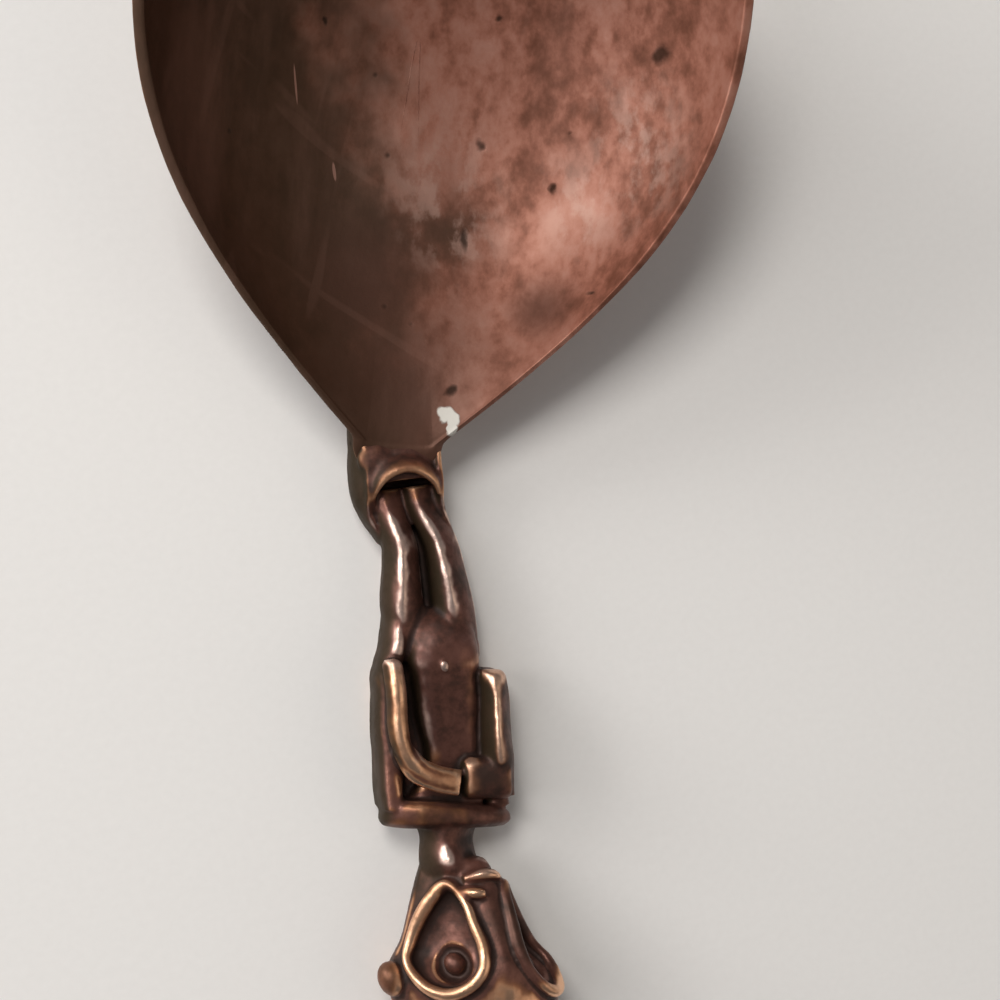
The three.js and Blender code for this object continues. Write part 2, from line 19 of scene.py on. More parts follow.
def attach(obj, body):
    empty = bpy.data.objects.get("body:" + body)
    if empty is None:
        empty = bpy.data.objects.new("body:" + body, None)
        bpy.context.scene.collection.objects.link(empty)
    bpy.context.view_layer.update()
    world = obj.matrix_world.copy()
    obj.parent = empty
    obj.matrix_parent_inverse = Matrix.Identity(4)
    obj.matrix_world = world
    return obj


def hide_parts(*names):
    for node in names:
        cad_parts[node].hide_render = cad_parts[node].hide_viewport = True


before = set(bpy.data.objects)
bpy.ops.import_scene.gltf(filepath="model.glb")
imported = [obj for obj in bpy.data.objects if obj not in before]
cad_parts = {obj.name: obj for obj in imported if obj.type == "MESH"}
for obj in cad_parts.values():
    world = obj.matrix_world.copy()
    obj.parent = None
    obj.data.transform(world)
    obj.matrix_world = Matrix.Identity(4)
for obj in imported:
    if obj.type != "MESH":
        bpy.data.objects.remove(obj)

LOG = logging.getLogger("spoon")
MM = 0.001
BODY = "root"

Colour = tuple[float, float, float]
Ring = Sequence[Vector]
Piece = bpy.types.Object
Tree = bpy.types.NodeTree
Socket = bpy.types.NodeSocket


class Slot(Enum):
    """The record's material slots."""

    CAST = "cast_metal"
    WORN = "worn_metal"


class Ends(Enum):
    """How the two ends of a drawn-out form are shut."""

    CAPPED = "capped"
    JOINED = "joined"


class Side(Enum):
    """The figure's left lies toward -X and its right toward +X."""

    LEFT = -1
    RIGHT = 1


def put_down() -> None:
    """Leaves edit mode and deselects every object."""
    if bpy.context.object and bpy.context.object.mode != "OBJECT":
        bpy.ops.object.mode_set(mode="OBJECT")
    bpy.ops.object.select_all(action="DESELECT")


def pick_up(*pieces: Piece) -> None:
    """Selects only these objects and makes the first the active one.

    Args:
        pieces: The objects to select.
    """
    put_down()
    for piece in pieces:
        piece.select_set(True)
    bpy.context.view_layer.objects.active = pieces[0]


def move_ring(piece: Piece, number: int, ring: Ring) -> None:
    """Moves the selected ring of vertices to its place.

    Args:
        piece: The object, in edit mode.
        number: Which ring this is, kept on its vertices.
        ring: One place for each vertex, in millimetres.
    """
    mesh = bmesh.from_edit_mesh(piece.data)
    order = mesh.verts.layers.int["order"]
    rank = mesh.verts.layers.int["rank"]
    for vertex in mesh.verts:
        if vertex.select:
            vertex.co = ring[vertex[order]] * MM
            vertex[rank] = number
    bmesh.update_edit_mesh(piece.data)


def select_rings(piece: Piece, numbers: Sequence[int]) -> None:
    """Selects the edges that run round the given rings.

    Args:
        piece: The object, in edit mode.
        numbers: The rings to select.
    """
    bpy.ops.mesh.select_all(action="DESELECT")
    mesh = bmesh.from_edit_mesh(piece.data)
    rank = mesh.verts.layers.int["rank"]
    for edge in mesh.edges:
        first, second = (vertex[rank] for vertex in edge.verts)
        if first == second and first in numbers:
            edge.select_set(True)
    bmesh.update_edit_mesh(piece.data)


def draw_out(name: str, rings: Sequence[Ring], ends: Ends = Ends.CAPPED) -> Piece:
    """Draws a circle out into a form, one extrusion for each ring.

    Args:
        name: The object's name.
        rings: The rings in order, each with the same number of points, in millimetres.
        ends: How the first and last rings are shut.

    Returns:
        The new object, with its faces pointing outward.
    """
    count = len(rings[0])
    put_down()
    bpy.ops.mesh.primitive_circle_add(vertices=count, radius=MM)
    piece = bpy.context.object
    piece.name = piece.data.name = name
    order = piece.data.attributes.new("order", "INT", "POINT")
    piece.data.attributes.new("rank", "INT", "POINT")
    for vertex in piece.data.vertices:
        turn = math.atan2(vertex.co.y, vertex.co.x) / math.tau
        order.data[vertex.index].value = round(turn * count) % count
    bpy.ops.object.mode_set(mode="EDIT")
    bpy.ops.mesh.select_mode(type="VERT")
    bpy.ops.mesh.select_all(action="SELECT")
    move_ring(piece, 0, rings[0])
    for number, ring in enumerate(rings[1:], start=1):
        bpy.ops.mesh.extrude_edges_move()
        move_ring(piece, number, ring)
    last = len(rings) - 1
    bpy.ops.mesh.select_mode(type="EDGE")
    if ends is Ends.JOINED:
        select_rings(piece, (0, last))
        bpy.ops.mesh.bridge_edge_loops()
    else:
        for number in (0, last):
            select_rings(piece, (number,))
            bpy.ops.mesh.edge_face_add()
    bpy.ops.mesh.select_mode(type="VERT")
    bpy.ops.mesh.select_all(action="SELECT")
    bpy.ops.mesh.remove_doubles(threshold=1e-6)
    bpy.ops.mesh.normals_make_consistent(inside=False)
    put_down()
    for attribute in ("order", "rank"):
        piece.data.attributes.remove(piece.data.attributes[attribute])
    return piece


def finish_with(piece: Piece, kind: str, **settings: object) -> None:
    """Adds one modifier and applies it.

    Args:
        piece: The object to change.
        kind: The modifier's type.
        settings: Its settings by name.
    """
    pick_up(piece)
    modifier = piece.modifiers.new(kind.lower(), kind)
    for key, value in settings.items():
        setattr(modifier, key, value)
    bpy.ops.object.modifier_apply(modifier=modifier.name)


def fuse(name: str, forms: Sequence[Piece], grain: float, passes: int) -> Piece:
    """Melts forms into one skin, with fillets where they meet, as wax pieces run together.

    Args:
        name: The name of the result.
        forms: Closed forms that overlap.
        grain: The size of the new skin's faces, in millimetres.
        passes: How often the skin is smoothed.

    Returns:
        The one object that is left.
    """
    pick_up(*forms)
    bpy.ops.object.join()
    piece = bpy.context.object
    piece.name = piece.data.name = name
    finish_with(piece, "REMESH", mode="VOXEL", voxel_size=grain * MM)
    finish_with(piece, "SMOOTH", factor=0.5, iterations=passes)
    return piece


def carve(piece: Piece, cutters: Sequence[Piece]) -> None:
    """Cuts forms out of a piece.

    Args:
        piece: The object that is cut.
        cutters: The forms that are taken away and deleted.
    """
    for cutter in cutters:
        finish_with(piece, "BOOLEAN", operation="DIFFERENCE", solver="EXACT", object=cutter)
        bpy.data.objects.remove(cutter)


def roughen(piece: Piece, reach: float, spread: float) -> None:
    """Gives a surface the unevenness of hand work. It only ever moves inward.

    Args:
        piece: The object to change.
        reach: How far the surface moves at most, in millimetres.
        spread: How wide the dents are, in millimetres.
    """
    texture = bpy.data.textures.new(f"{piece.name}_dents_{spread}", "CLOUDS")
    texture.noise_scale = spread * MM
    texture.noise_depth = 2
    finish_with(
        piece, "DISPLACE", texture=texture, texture_coords="LOCAL", strength=reach * MM,
        mid_level=1.0,
    )
    bpy.data.textures.remove(texture)


def rest_on_table(piece: Piece) -> None:
    """Presses what reaches below the table top flat against it."""
    for vertex in piece.data.vertices:
        vertex.co.z = max(vertex.co.z, 0.0)


def mark_proud(piece: Piece, reach: float, passes: int) -> None:
    """Writes how far each place stands out from what lies round it, where hands rub most.

    The attribute is 0.5 on plain places, toward 1 on ridges and toward 0 in hollows.

    Args:
        piece: The finished form.
        reach: How far a ridge stands out that counts fully, in millimetres.
        passes: How strongly the form that it is compared with is smoothed.
    """
    pick_up(piece)
    bpy.ops.object.duplicate()
    calm = bpy.context.object
    finish_with(calm, "SMOOTH", factor=0.5, iterations=passes)
    proud = piece.data.attributes.new("proud", "FLOAT", "POINT")
    for vertex, smooth in zip(piece.data.vertices, calm.data.vertices):
        height = (vertex.co - smooth.co).dot(vertex.normal) / (2 * reach * MM)
        proud.data[vertex.index].value = min(max(0.5 + height, 0.0), 1.0)
    bpy.data.objects.remove(calm)


def keep_dull(piece: Piece, place: Vector, radius: float, most: float) -> None:
    """Limits how rubbed a place is, where no hand reaches.

    Args:
        piece: A piece whose proud places are marked.
        place: The middle of the place, in millimetres.
        radius: How far the limit holds, in millimetres.
        most: The highest value of the attribute in the middle.
    """
    proud = piece.data.attributes["proud"]
    for vertex in piece.data.vertices:
        share = step((vertex.co / MM - place).length, radius, radius * 0.7)
        value = proud.data[vertex.index].value
        proud.data[vertex.index].value = mix(value, min(value, most), share)


def soften(piece: Piece, place: Vector, radius: float, passes: int) -> None:
    """Melts the edges of a surface round a place.

    Args:
        piece: The object to change.
        place: The middle of the place, in millimetres.
        radius: How far the softening reaches, in millimetres.
        passes: How often the surface is smoothed there.
    """
    group = piece.vertex_groups.new(name="soft")
    for vertex in piece.data.vertices:
        far = (vertex.co / MM - place).length
        if far < radius:
            group.add((vertex.index,), step(far, radius, radius * 0.5), "REPLACE")
    finish_with(piece, "SMOOTH", factor=0.5, iterations=passes, vertex_group=group.name)
    piece.vertex_groups.clear()


def cut_off(piece: Piece, y: float, keep_front: bool) -> None:
    """Cuts a piece straight across the handle and shuts the cut.

    Args:
        piece: The object to change.
        y: Where it is cut, in millimetres.
        keep_front: Whether what lies toward the bowl is kept, or else what lies behind.
    """
    pick_up(piece)
    bpy.ops.object.mode_set(mode="EDIT")
    bpy.ops.mesh.select_mode(type="EDGE")
    bpy.ops.mesh.select_all(action="SELECT")
    bpy.ops.mesh.bisect(
        plane_co=(0, y * MM, 0), plane_no=(0, 1, 0), use_fill=True, clear_inner=keep_front,
        clear_outer=not keep_front, threshold=1e-7,
    )
    bpy.ops.mesh.mark_sharp()
    put_down()


def step(value: float, low: float, high: float) -> float:
    """A smooth rise from 0 at low to 1 at high."""
    share = min(max((value - low) / (high - low), 0.0), 1.0)
    return share * share * (3 - 2 * share)


def mix(first: float, second: float, share: float) -> float:
    """The value a share of the way from the first to the second."""
    return first + (second - first) * share


def apart(one: float, other: float) -> float:
    """The angle from one direction to another, the short way round."""
    return math.remainder(one - other, math.tau)


def blur(turns: Sequence[float], values: Sequence[float], window: float) -> list[float]:
    """Blurs values that belong to spokes over a window of directions.

    Args:
        turns: The direction of each spoke, in radians, going round in order.
        values: The value of each spoke.
        window: The width of the window, in radians.

    Returns:
        The blurred values.
    """
    count = len(turns)
    widths = [abs(apart(turns[at - 1], turns[(at + 1) % count])) for at in range(count)]
    blurred = []
    for turn, value in zip(turns, values):
        near = [
            width * math.exp(-(apart(turn, other) / window) ** 2)
            for width, other in zip(widths, turns)
        ]
        total = sum(near)
        blurred.append(sum(map(mul, near, values)) / total if total > 0 else value)
    return blurred


def read_off(table: Sequence[tuple[float, float]], place: float) -> float:
    """Reads a value off a table of places and values, with smooth steps between them."""
    spans = list(zip(table, table[1:]))
    fitting = (span for span in spans if place <= span[1][0])
    (low, first), (high, second) = next(fitting, spans[-1])
    return mix(first, second, step(place, low, high))


def along(points: Sequence[Vector], share: float, closed: bool = False) -> Vector:
    """The place a share of the way along a smooth curve through points.

    Args:
        points: The points that the curve passes.
        share: From 0 at the first point to 1 at the last, or round to the first again.
        closed: Whether the curve runs back to its first point.

    Returns:
        The place on the curve.
    """
    count = len(points)
    spans = count if closed else count - 1
    at = share * spans
    span = min(int(at), spans - 1)
    local = at - span

    def point(number: int) -> Vector:
        return points[number % count] if closed else points[min(max(number, 0), count - 1)]

    before, here, beyond, after = (point(span + n) for n in (-1, 0, 1, 2))
    return 0.5 * (
        2 * here
        + (beyond - before) * local
        + (2 * before - 5 * here + 4 * beyond - after) * local ** 2
        + (3 * here - before - 3 * beyond + after) * local ** 3
    )


@dataclass(frozen=True)
class Section:
    """A closed outline in a plane across the handle.

    It is widest at its waist. Crown and base say how square it is above and below: 2 is an
    ellipse, less is a roof and more is a box. Shift leans its upper half to the side.
    """

    y: float
    half: float
    top: float
    bottom: float
    crown: float = 2.2
    base: float = 2.6
    x: float = 0.0
    shift: float = 0.0
    waist: float | None = None

    def sizes(self) -> Vector:
        """All sizes as one vector, so that sections can be blended."""
        waist = (self.top + self.bottom) / 2 if self.waist is None else self.waist
        return Vector((
            self.y, self.half, self.top, self.bottom, self.crown, self.base, self.x, self.shift,
            waist,
        ))


def loft(name: str, sections: Sequence[Section], count: int = 40, steps: int = 6) -> Piece:
    """A form through sections.

    Args:
        name: The object's name.
        sections: The sections in order.
        count: How many points each ring has.
        steps: How many rings lie between two sections.

    Returns:
        The new object.
    """
    sizes = [section.sizes() for section in sections]
    total = steps * (len(sections) - 1)
    rings = []
    for number in range(total + 1):
        y, half, top, bottom, crown, base, x, shift, waist = along(sizes, number / total)
        ring = []
        for spoke in range(count):
            angle = math.tau * spoke / count
            across, up = math.cos(angle), math.sin(angle)
            power = 2 / (crown if up > 0 else base)
            rise = math.copysign(abs(up) ** power, up)
            out = math.copysign(abs(across) ** power, across)
            reach = top - waist if up > 0 else waist - bottom
            ring.append(Vector((x + half * out + shift * max(rise, 0), y, waist + reach * rise)))
        rings.append(ring)
    return draw_out(name, rings)


def bar(
    name: str,
    points: Sequence[Vector],
    size: Callable[[float], tuple[float, float]],
    side: Vector,
    closed: bool = False,
    steps: int = 40,
    count: int = 16,
    square: float = 2.0,
) -> Piece:
    """A rounded bar along a smooth curve.

    Args:
        name: The object's name.
        points: The points that the bar's middle passes.
        size: Gives the half width and the half height at a share of the way.
        side: The direction in which the width is measured.
        closed: Whether the bar is a ring.
        steps: How many rings it has.
        count: How many points each ring has.
        square: How square its section is, where 2 is round.

    Returns:
        The new object.
    """

    def corner(value: float) -> float:
        return math.copysign(abs(value) ** (2 / square), value)

    rings = []
    across = side.copy()
    total = steps if closed else steps + 1
    for number in range(total):
        share = number / steps
        here = along(points, share, closed)
        small = 0.25 / steps
        after = (share + small) % 1.0 if closed else min(share + small, 1.0)
        ahead = along(points, after, closed)
        before = (share - small) % 1.0 if closed else max(share - small, 0.0)
        behind = along(points, before, closed)
        heading = (ahead - behind).normalized()
        if closed:
            across = side.copy()
        across = (across - heading * across.dot(heading)).normalized()
        upward = heading.cross(across)
        half, rise = size(share)
        rings.append([
            here + across * half * corner(math.cos(math.tau * spoke / count))
            + upward * rise * corner(math.sin(math.tau * spoke / count))
            for spoke in range(count)
        ])
    return draw_out(name, rings, Ends.JOINED if closed else Ends.CAPPED)


def knob(name: str, centre: Vector, radii: Vector, turn: Matrix | None = None) -> Piece:
    """An egg-shaped knob.

    Args:
        name: The object's name.
        centre: Its middle, in millimetres.
        radii: Its half sizes, in millimetres.
        turn: How it is turned, if it is.

    Returns:
        The new object.
    """
    put_down()
    bpy.ops.mesh.primitive_uv_sphere_add(segments=32, ring_count=20, radius=1)
    piece = bpy.context.object
    piece.name = piece.data.name = name
    turn = turn or Matrix.Identity(4)
    place = Matrix.Translation(centre * MM) @ turn.to_3x3().to_4x4()
    piece.data.transform(place @ Matrix.Diagonal((*(radii * MM), 1)))
    return piece


@dataclass
class Bowl:
    """A deep oval bowl that narrows to the throat, where the handle joins."""

    length: float = 95.0
    half_width: float = 36.4
    widest: float = 52.0
    throat_half_width: float = 6.0
    flare_degrees: float = 46.0
    flare_reach: float = 27.0
    shoulder_reach: float = 20.0
    tip_shoulder_reach: float = 24.0
    tip_reach: float = 20.0
    depth: float = 21.5
    fullness: float = 0.68
    throat_slope: float = 1.35
    throat_narrowness: float = 8.0
    throat_easing: float = 1.0
    deepest: float = 50.0
    rim_width: float = 1.8
    wall: float = 2.0
    inner_tail: float = 0.5
    outer_tail: float = 5.0
    tilt_degrees: float = 23.0
    turn_degrees: float = 11.0
    worn_flat: float = 0.35
    rounds: int = 18
    curve_steps: int = 24
    rim_profile: tuple[tuple[float, float], ...] = (
        (1.68, 0.2), (1.4, 0.34), (1.05, 0.3), (0.6, 0.16), (0.2, -0.08),
    )

    def outline(self, inset: float, tail: float) -> list[Vector]:
        """The rim's outline in its own plane.

        Args:
            inset: How far it lies inside the bowl's edge.
            tail: How far it runs on behind the throat.

        Returns:
            Points as (along, across), from the tail up one side to the tip and back.
        """
        flare = math.radians(self.flare_degrees)
        neck = Vector((0, self.throat_half_width - inset))
        widest = Vector((self.widest, self.half_width - inset))
        tip = Vector((self.length - inset, 0))
        lead = neck + Vector((math.cos(flare), math.sin(flare))) * self.flare_reach
        corner = Vector((-tail, neck.y))
        end = Vector((-tail, 0))
        shoulder = Vector((self.shoulder_reach, 0))
        tip_shoulder = Vector((self.tip_shoulder_reach, 0))
        tip_lead = tip + Vector((0, self.tip_reach))
        curves = (
            (end, corner.lerp(end, 1 / 3), corner.lerp(neck, 1 / 3), neck),
            (neck, lead, widest - shoulder, widest),
            (widest, widest + tip_shoulder, tip_lead, tip),
        )
        right = []
        for first, second, third, fourth in curves:
            for number in range(self.curve_steps):
                t = number / self.curve_steps
                u = 1 - t
                inner = second * 3 * u * u * t + third * 3 * u * t * t
                right.append(first * u ** 3 + inner + fourth * t ** 3)
        left = [Vector((point.x, -point.y)) for point in reversed(right[1:])]
        return [*right, tip, *left]

    def ring(
        self,
        edge: Sequence[Vector],
        depth: float,
        share: float,
        lift: float = 0.0,
        slope: float | None = None,
    ) -> list[Vector]:
        """One ring of the bowl, which relaxes from the outline to an oval toward the floor.

        Args:
            edge: The outline that the ring belongs to.
            depth: How deep the bowl is in the middle.
            share: From 0 in the middle to 1 at the rim.
            lift: How far the ring is raised.
            slope: How the bowl is hollowed toward the throat, where that isn't as elsewhere.

        Returns:
            Places before the bowl is tilted and turned.
        """
        slope = self.fullness if slope is None else slope
        reaches = [Vector((point.x - self.deepest, point.y)) for point in edge]
        ovals = [
            Vector((
                reach.x / (self.deepest if reach.x < 0 else self.length - self.deepest),
                reach.y / self.half_width,
            ))
            for reach in reaches
        ]
        eased = [oval.length for oval in ovals]
        if share < 1:
            turns = [math.atan2(oval.y, oval.x) for oval in ovals]
            eased = blur(turns, eased, (1 - share) * self.throat_easing)
        places = []
        for reach, oval, stretch in zip(reaches, ovals, eased):
            to_throat = max(-oval.normalized().x, 0) ** self.throat_narrowness
            sag = depth * max(1 - share ** 2, 0) ** mix(self.fullness, slope, to_throat)
            size = share * mix(1, stretch, share ** 4) / oval.length
            places.append(Vector((reach.y * size, self.deepest + reach.x * size, lift - sag)))
        return places

    def pose(self) -> Matrix:
        """How the bowl is turned and tilted about the throat."""
        turn = Matrix.Rotation(-math.radians(self.turn_degrees), 4, "Z")
        return turn @ Matrix.Rotation(math.radians(self.tilt_degrees), 4, "X")

    def throat(self) -> Vector:
        """Where the handle joins, with the lowest place of the bowl on the table at the origin."""
        tail = [Vector((-self.outer_tail, 0))]
        tries = 400
        places = (
            self.pose() @ self.ring(tail, self.depth + self.wall, number / tries)[0]
            for number in range(tries + 1)
        )
        throat = -min(places, key=lambda place: place.z)
        throat.z -= self.worn_flat
        return throat

    def build(self) -> Piece:
        """Models the shell of the bowl.

        Returns:
            The finished piece.
        """
        inner = self.outline(self.rim_width, self.inner_tail)
        outer = self.outline(0, self.outer_tail)
        quarter = math.pi / 2
        shares = [
            math.sin(quarter * number / self.rounds) for number in range(self.rounds + 1)
        ]
        rings = [
            self.ring(inner, self.depth, share, slope=self.throat_slope) for share in shares
        ]
        for inset, lift in self.rim_profile:
            tail = mix(self.outer_tail, self.inner_tail, inset / self.rim_width)
            rings.append(self.ring(self.outline(inset, tail), 0, 1, lift))
        low_edge = 0.4
        rings.append(self.ring(outer, 0, 1, -low_edge))
        low = self.depth + self.wall
        rings += [self.ring(outer, low, share) for share in reversed(shares[:-1])]
        place = Matrix.Translation(self.throat()) @ self.pose()
        piece = draw_out("bowl_shell", [[place @ point for point in ring] for ring in rings])
        finish_with(piece, "SUBSURF", levels=1, render_levels=1)
        roughen(piece, reach=0.3, spread=14)
        roughen(piece, reach=0.08, spread=3)
        rest_on_table(piece)
        mark_proud(piece, reach=0.3, passes=30)
        return piece


@dataclass(frozen=True)
class Stance:
    """The lines across the handle, and how the hand-made figure sways and skews."""

    throat: Vector
    cuff_length: float = 8.0
    leg_length: float = 17.0
    trunk_length: float = 19.8
    yoke_length: float = 3.8
    neck_length: float = 4.6
    ear_line: float = 14.0
    head_length: float = 27.5
    skew: float = 0.18
    crown_skew_lost: float = 0.8
    # How strongly the rub shows along the figure; raised on the legs, the arms and the neck so
    # that it also paints their ridge highlights.
    wear_and_highlight: tuple[tuple[float, float], ...] = (
        (0, 0.6), (2.5, 0.6), (4.5, 0.5), (8, 0.5), (11, 1.4), (21, 1.4), (23, 1.0), (27, 0.9),
        (30, 1.2), (43, 1.1), (45.5, 0.5), (49, 0.4), (50.5, 1.6), (52.0, 1.3), (53, 0.5),
        (55.5, 0.6), (57, 1.1), (66, 1.2), (70, 1.6), (90, 1.6),
    )
    sway: tuple[tuple[float, float], ...] = (
        (0, 0), (7, 0.2), (14, 1.7), (23, 1.5), (31, 1.3), (38, 0.7), (46, 0.1), (51, -0.6),
        (56, -0.5), (66, 0), (90, 0),
    )

    @property
    def chin_back(self) -> float:
        """How far the chin lies behind the throat."""
        return (
            self.cuff_length + self.leg_length + self.trunk_length + self.yoke_length
            + self.neck_length
        )

    @property
    def chin(self) -> float:
        """Where the neck meets the head."""
        return self.throat.y - self.chin_back

    def spot(self, across: float, back: float, z: float) -> Vector:
        """A place on the straight figure.

        Args:
            across: How far it lies to the right of the figure's middle.
            back: How far it lies behind the bowl's throat.
            z: Its height over the table.

        Returns:
            The place.
        """
        return Vector((self.throat.x + across, self.throat.y - back, z))

    def section(
        self,
        back: float,
        across: float,
        half: float,
        top: float,
        bottom: float,
        crown: float = 2.2,
        base: float = 2.6,
        shift: float = 0.0,
        waist: float | None = None,
    ) -> Section:
        """A section of the straight figure, at a distance behind the throat."""
        place = self.spot(across, back, 0)
        return Section(place.y, half, top, bottom, crown, base, place.x, shift, waist)

    def sway_at(self, back: float) -> float:
        """How far the middle line lies to the right at a distance behind the throat."""
        return read_off(self.sway, back)

    def wear_and_highlight_at(self, across: float, back: float) -> float:
        """How strongly wear, and with it the painted ridge highlight, shows at a place. It is weak
        on the left wall and the right hand.

        Args:
            across: How far the place lies to the right of the throat.
            back: How far it lies behind the throat.

        Returns:
            What the proudness is multiplied by.
        """
        wear_and_highlight = read_off(self.wear_and_highlight, back)
        elbow, shoulder, wall_worn, hand_worn = 26, 50, 0.35, 0.6
        if elbow < back < shoulder:
            wall = mix(-6.9, -6.0, step(back, 35, 39))
            on_wall = step(across, wall, wall - 0.7) * step(back, 46, 44)
            on_hand = step(across, 1.5, 2.5) * step(back, 39, 41)
            wear_and_highlight *= mix(1.0, wall_worn, on_wall)
            wear_and_highlight *= mix(1.0, hand_worn, on_hand)
        return wear_and_highlight

    def gilding(self, across: float, back: float) -> float:
        """How golden the rubbed metal is: fully on the cuff, the left arm and the head.

        Args:
            across: How far the place lies to the right of the throat.
            back: How far it lies behind the throat.

        Returns:
            From 0, where it is rosy, to 1, where it is golden.
        """
        right_arm = 0.6
        arms = step(back, 26, 29) * max(step(abs(across), 3.2, 4.4), step(back, 38, 40))
        arms *= step(back, 50, 48) * mix(1.0, right_arm, step(across, 1, 4))
        return max(step(back, 8, 7), arms, step(back, 53, 55))

    def mark_wear(self, piece: Piece) -> None:
        """Marks how rubbed and how golden the figure is, and the painted shade on its left-facing
        flanks.

        Args:
            piece: The finished form.
        """
        mark_proud(piece, reach=0.25, passes=80)
        proud = piece.data.attributes["proud"]
        gilt = piece.data.attributes.new("gilt", "FLOAT", "POINT")
        painted_flank_shade = piece.data.attributes.new("painted_flank_shade", "FLOAT", "POINT")
        plain, brow_worn, shaded_flank_spared = 0.5, 0.13, 0.6
        for vertex in piece.data.vertices:
            place = vertex.co / MM
            back = self.throat.y - place.y
            across = place.x - self.throat.x
            # Painted shade and reflection: steep walls that face left are marked to be darkened
            # toward an olive brown, and rubbed less.
            flank = step(-vertex.normal.x, 0.45, 0.85) * step(back, 60, 52)
            brow = brow_worn * step(back, 63, 69) * step(vertex.normal.z, -0.3, 0.7)
            above = proud.data[vertex.index].value - plain
            worn = plain + above * self.wear_and_highlight_at(across, back) * (1 - shaded_flank_spared * flank) + brow
            proud.data[vertex.index].value = min(worn, 1.0)
            painted_flank_shade.data[vertex.index].value = flank
            gilt.data[vertex.index].value = self.gilding(across, back)

    def by_eye(self, place: Vector) -> Vector:
        """Where the sway and skew of the hand-made figure bring a place of the straight one."""
        back = self.throat.y - place.y
        ears = self.chin_back + self.ear_line
        turned = step(back, self.cuff_length, self.cuff_length + self.leg_length)
        turned -= self.crown_skew_lost * step(back, ears, self.chin_back + self.head_length)
        lag = self.skew * turned * (place.x - self.throat.x)
        return place + Vector((self.sway_at(back), -lag, 0))

    def shape_by_eye(self, piece: Piece) -> None:
        """Gives a straight piece of the figure the sway and skew of the whole.

        Args:
            piece: The object to change.
        """
        for vertex in piece.data.vertices:
            vertex.co = self.by_eye(vertex.co / MM) * MM


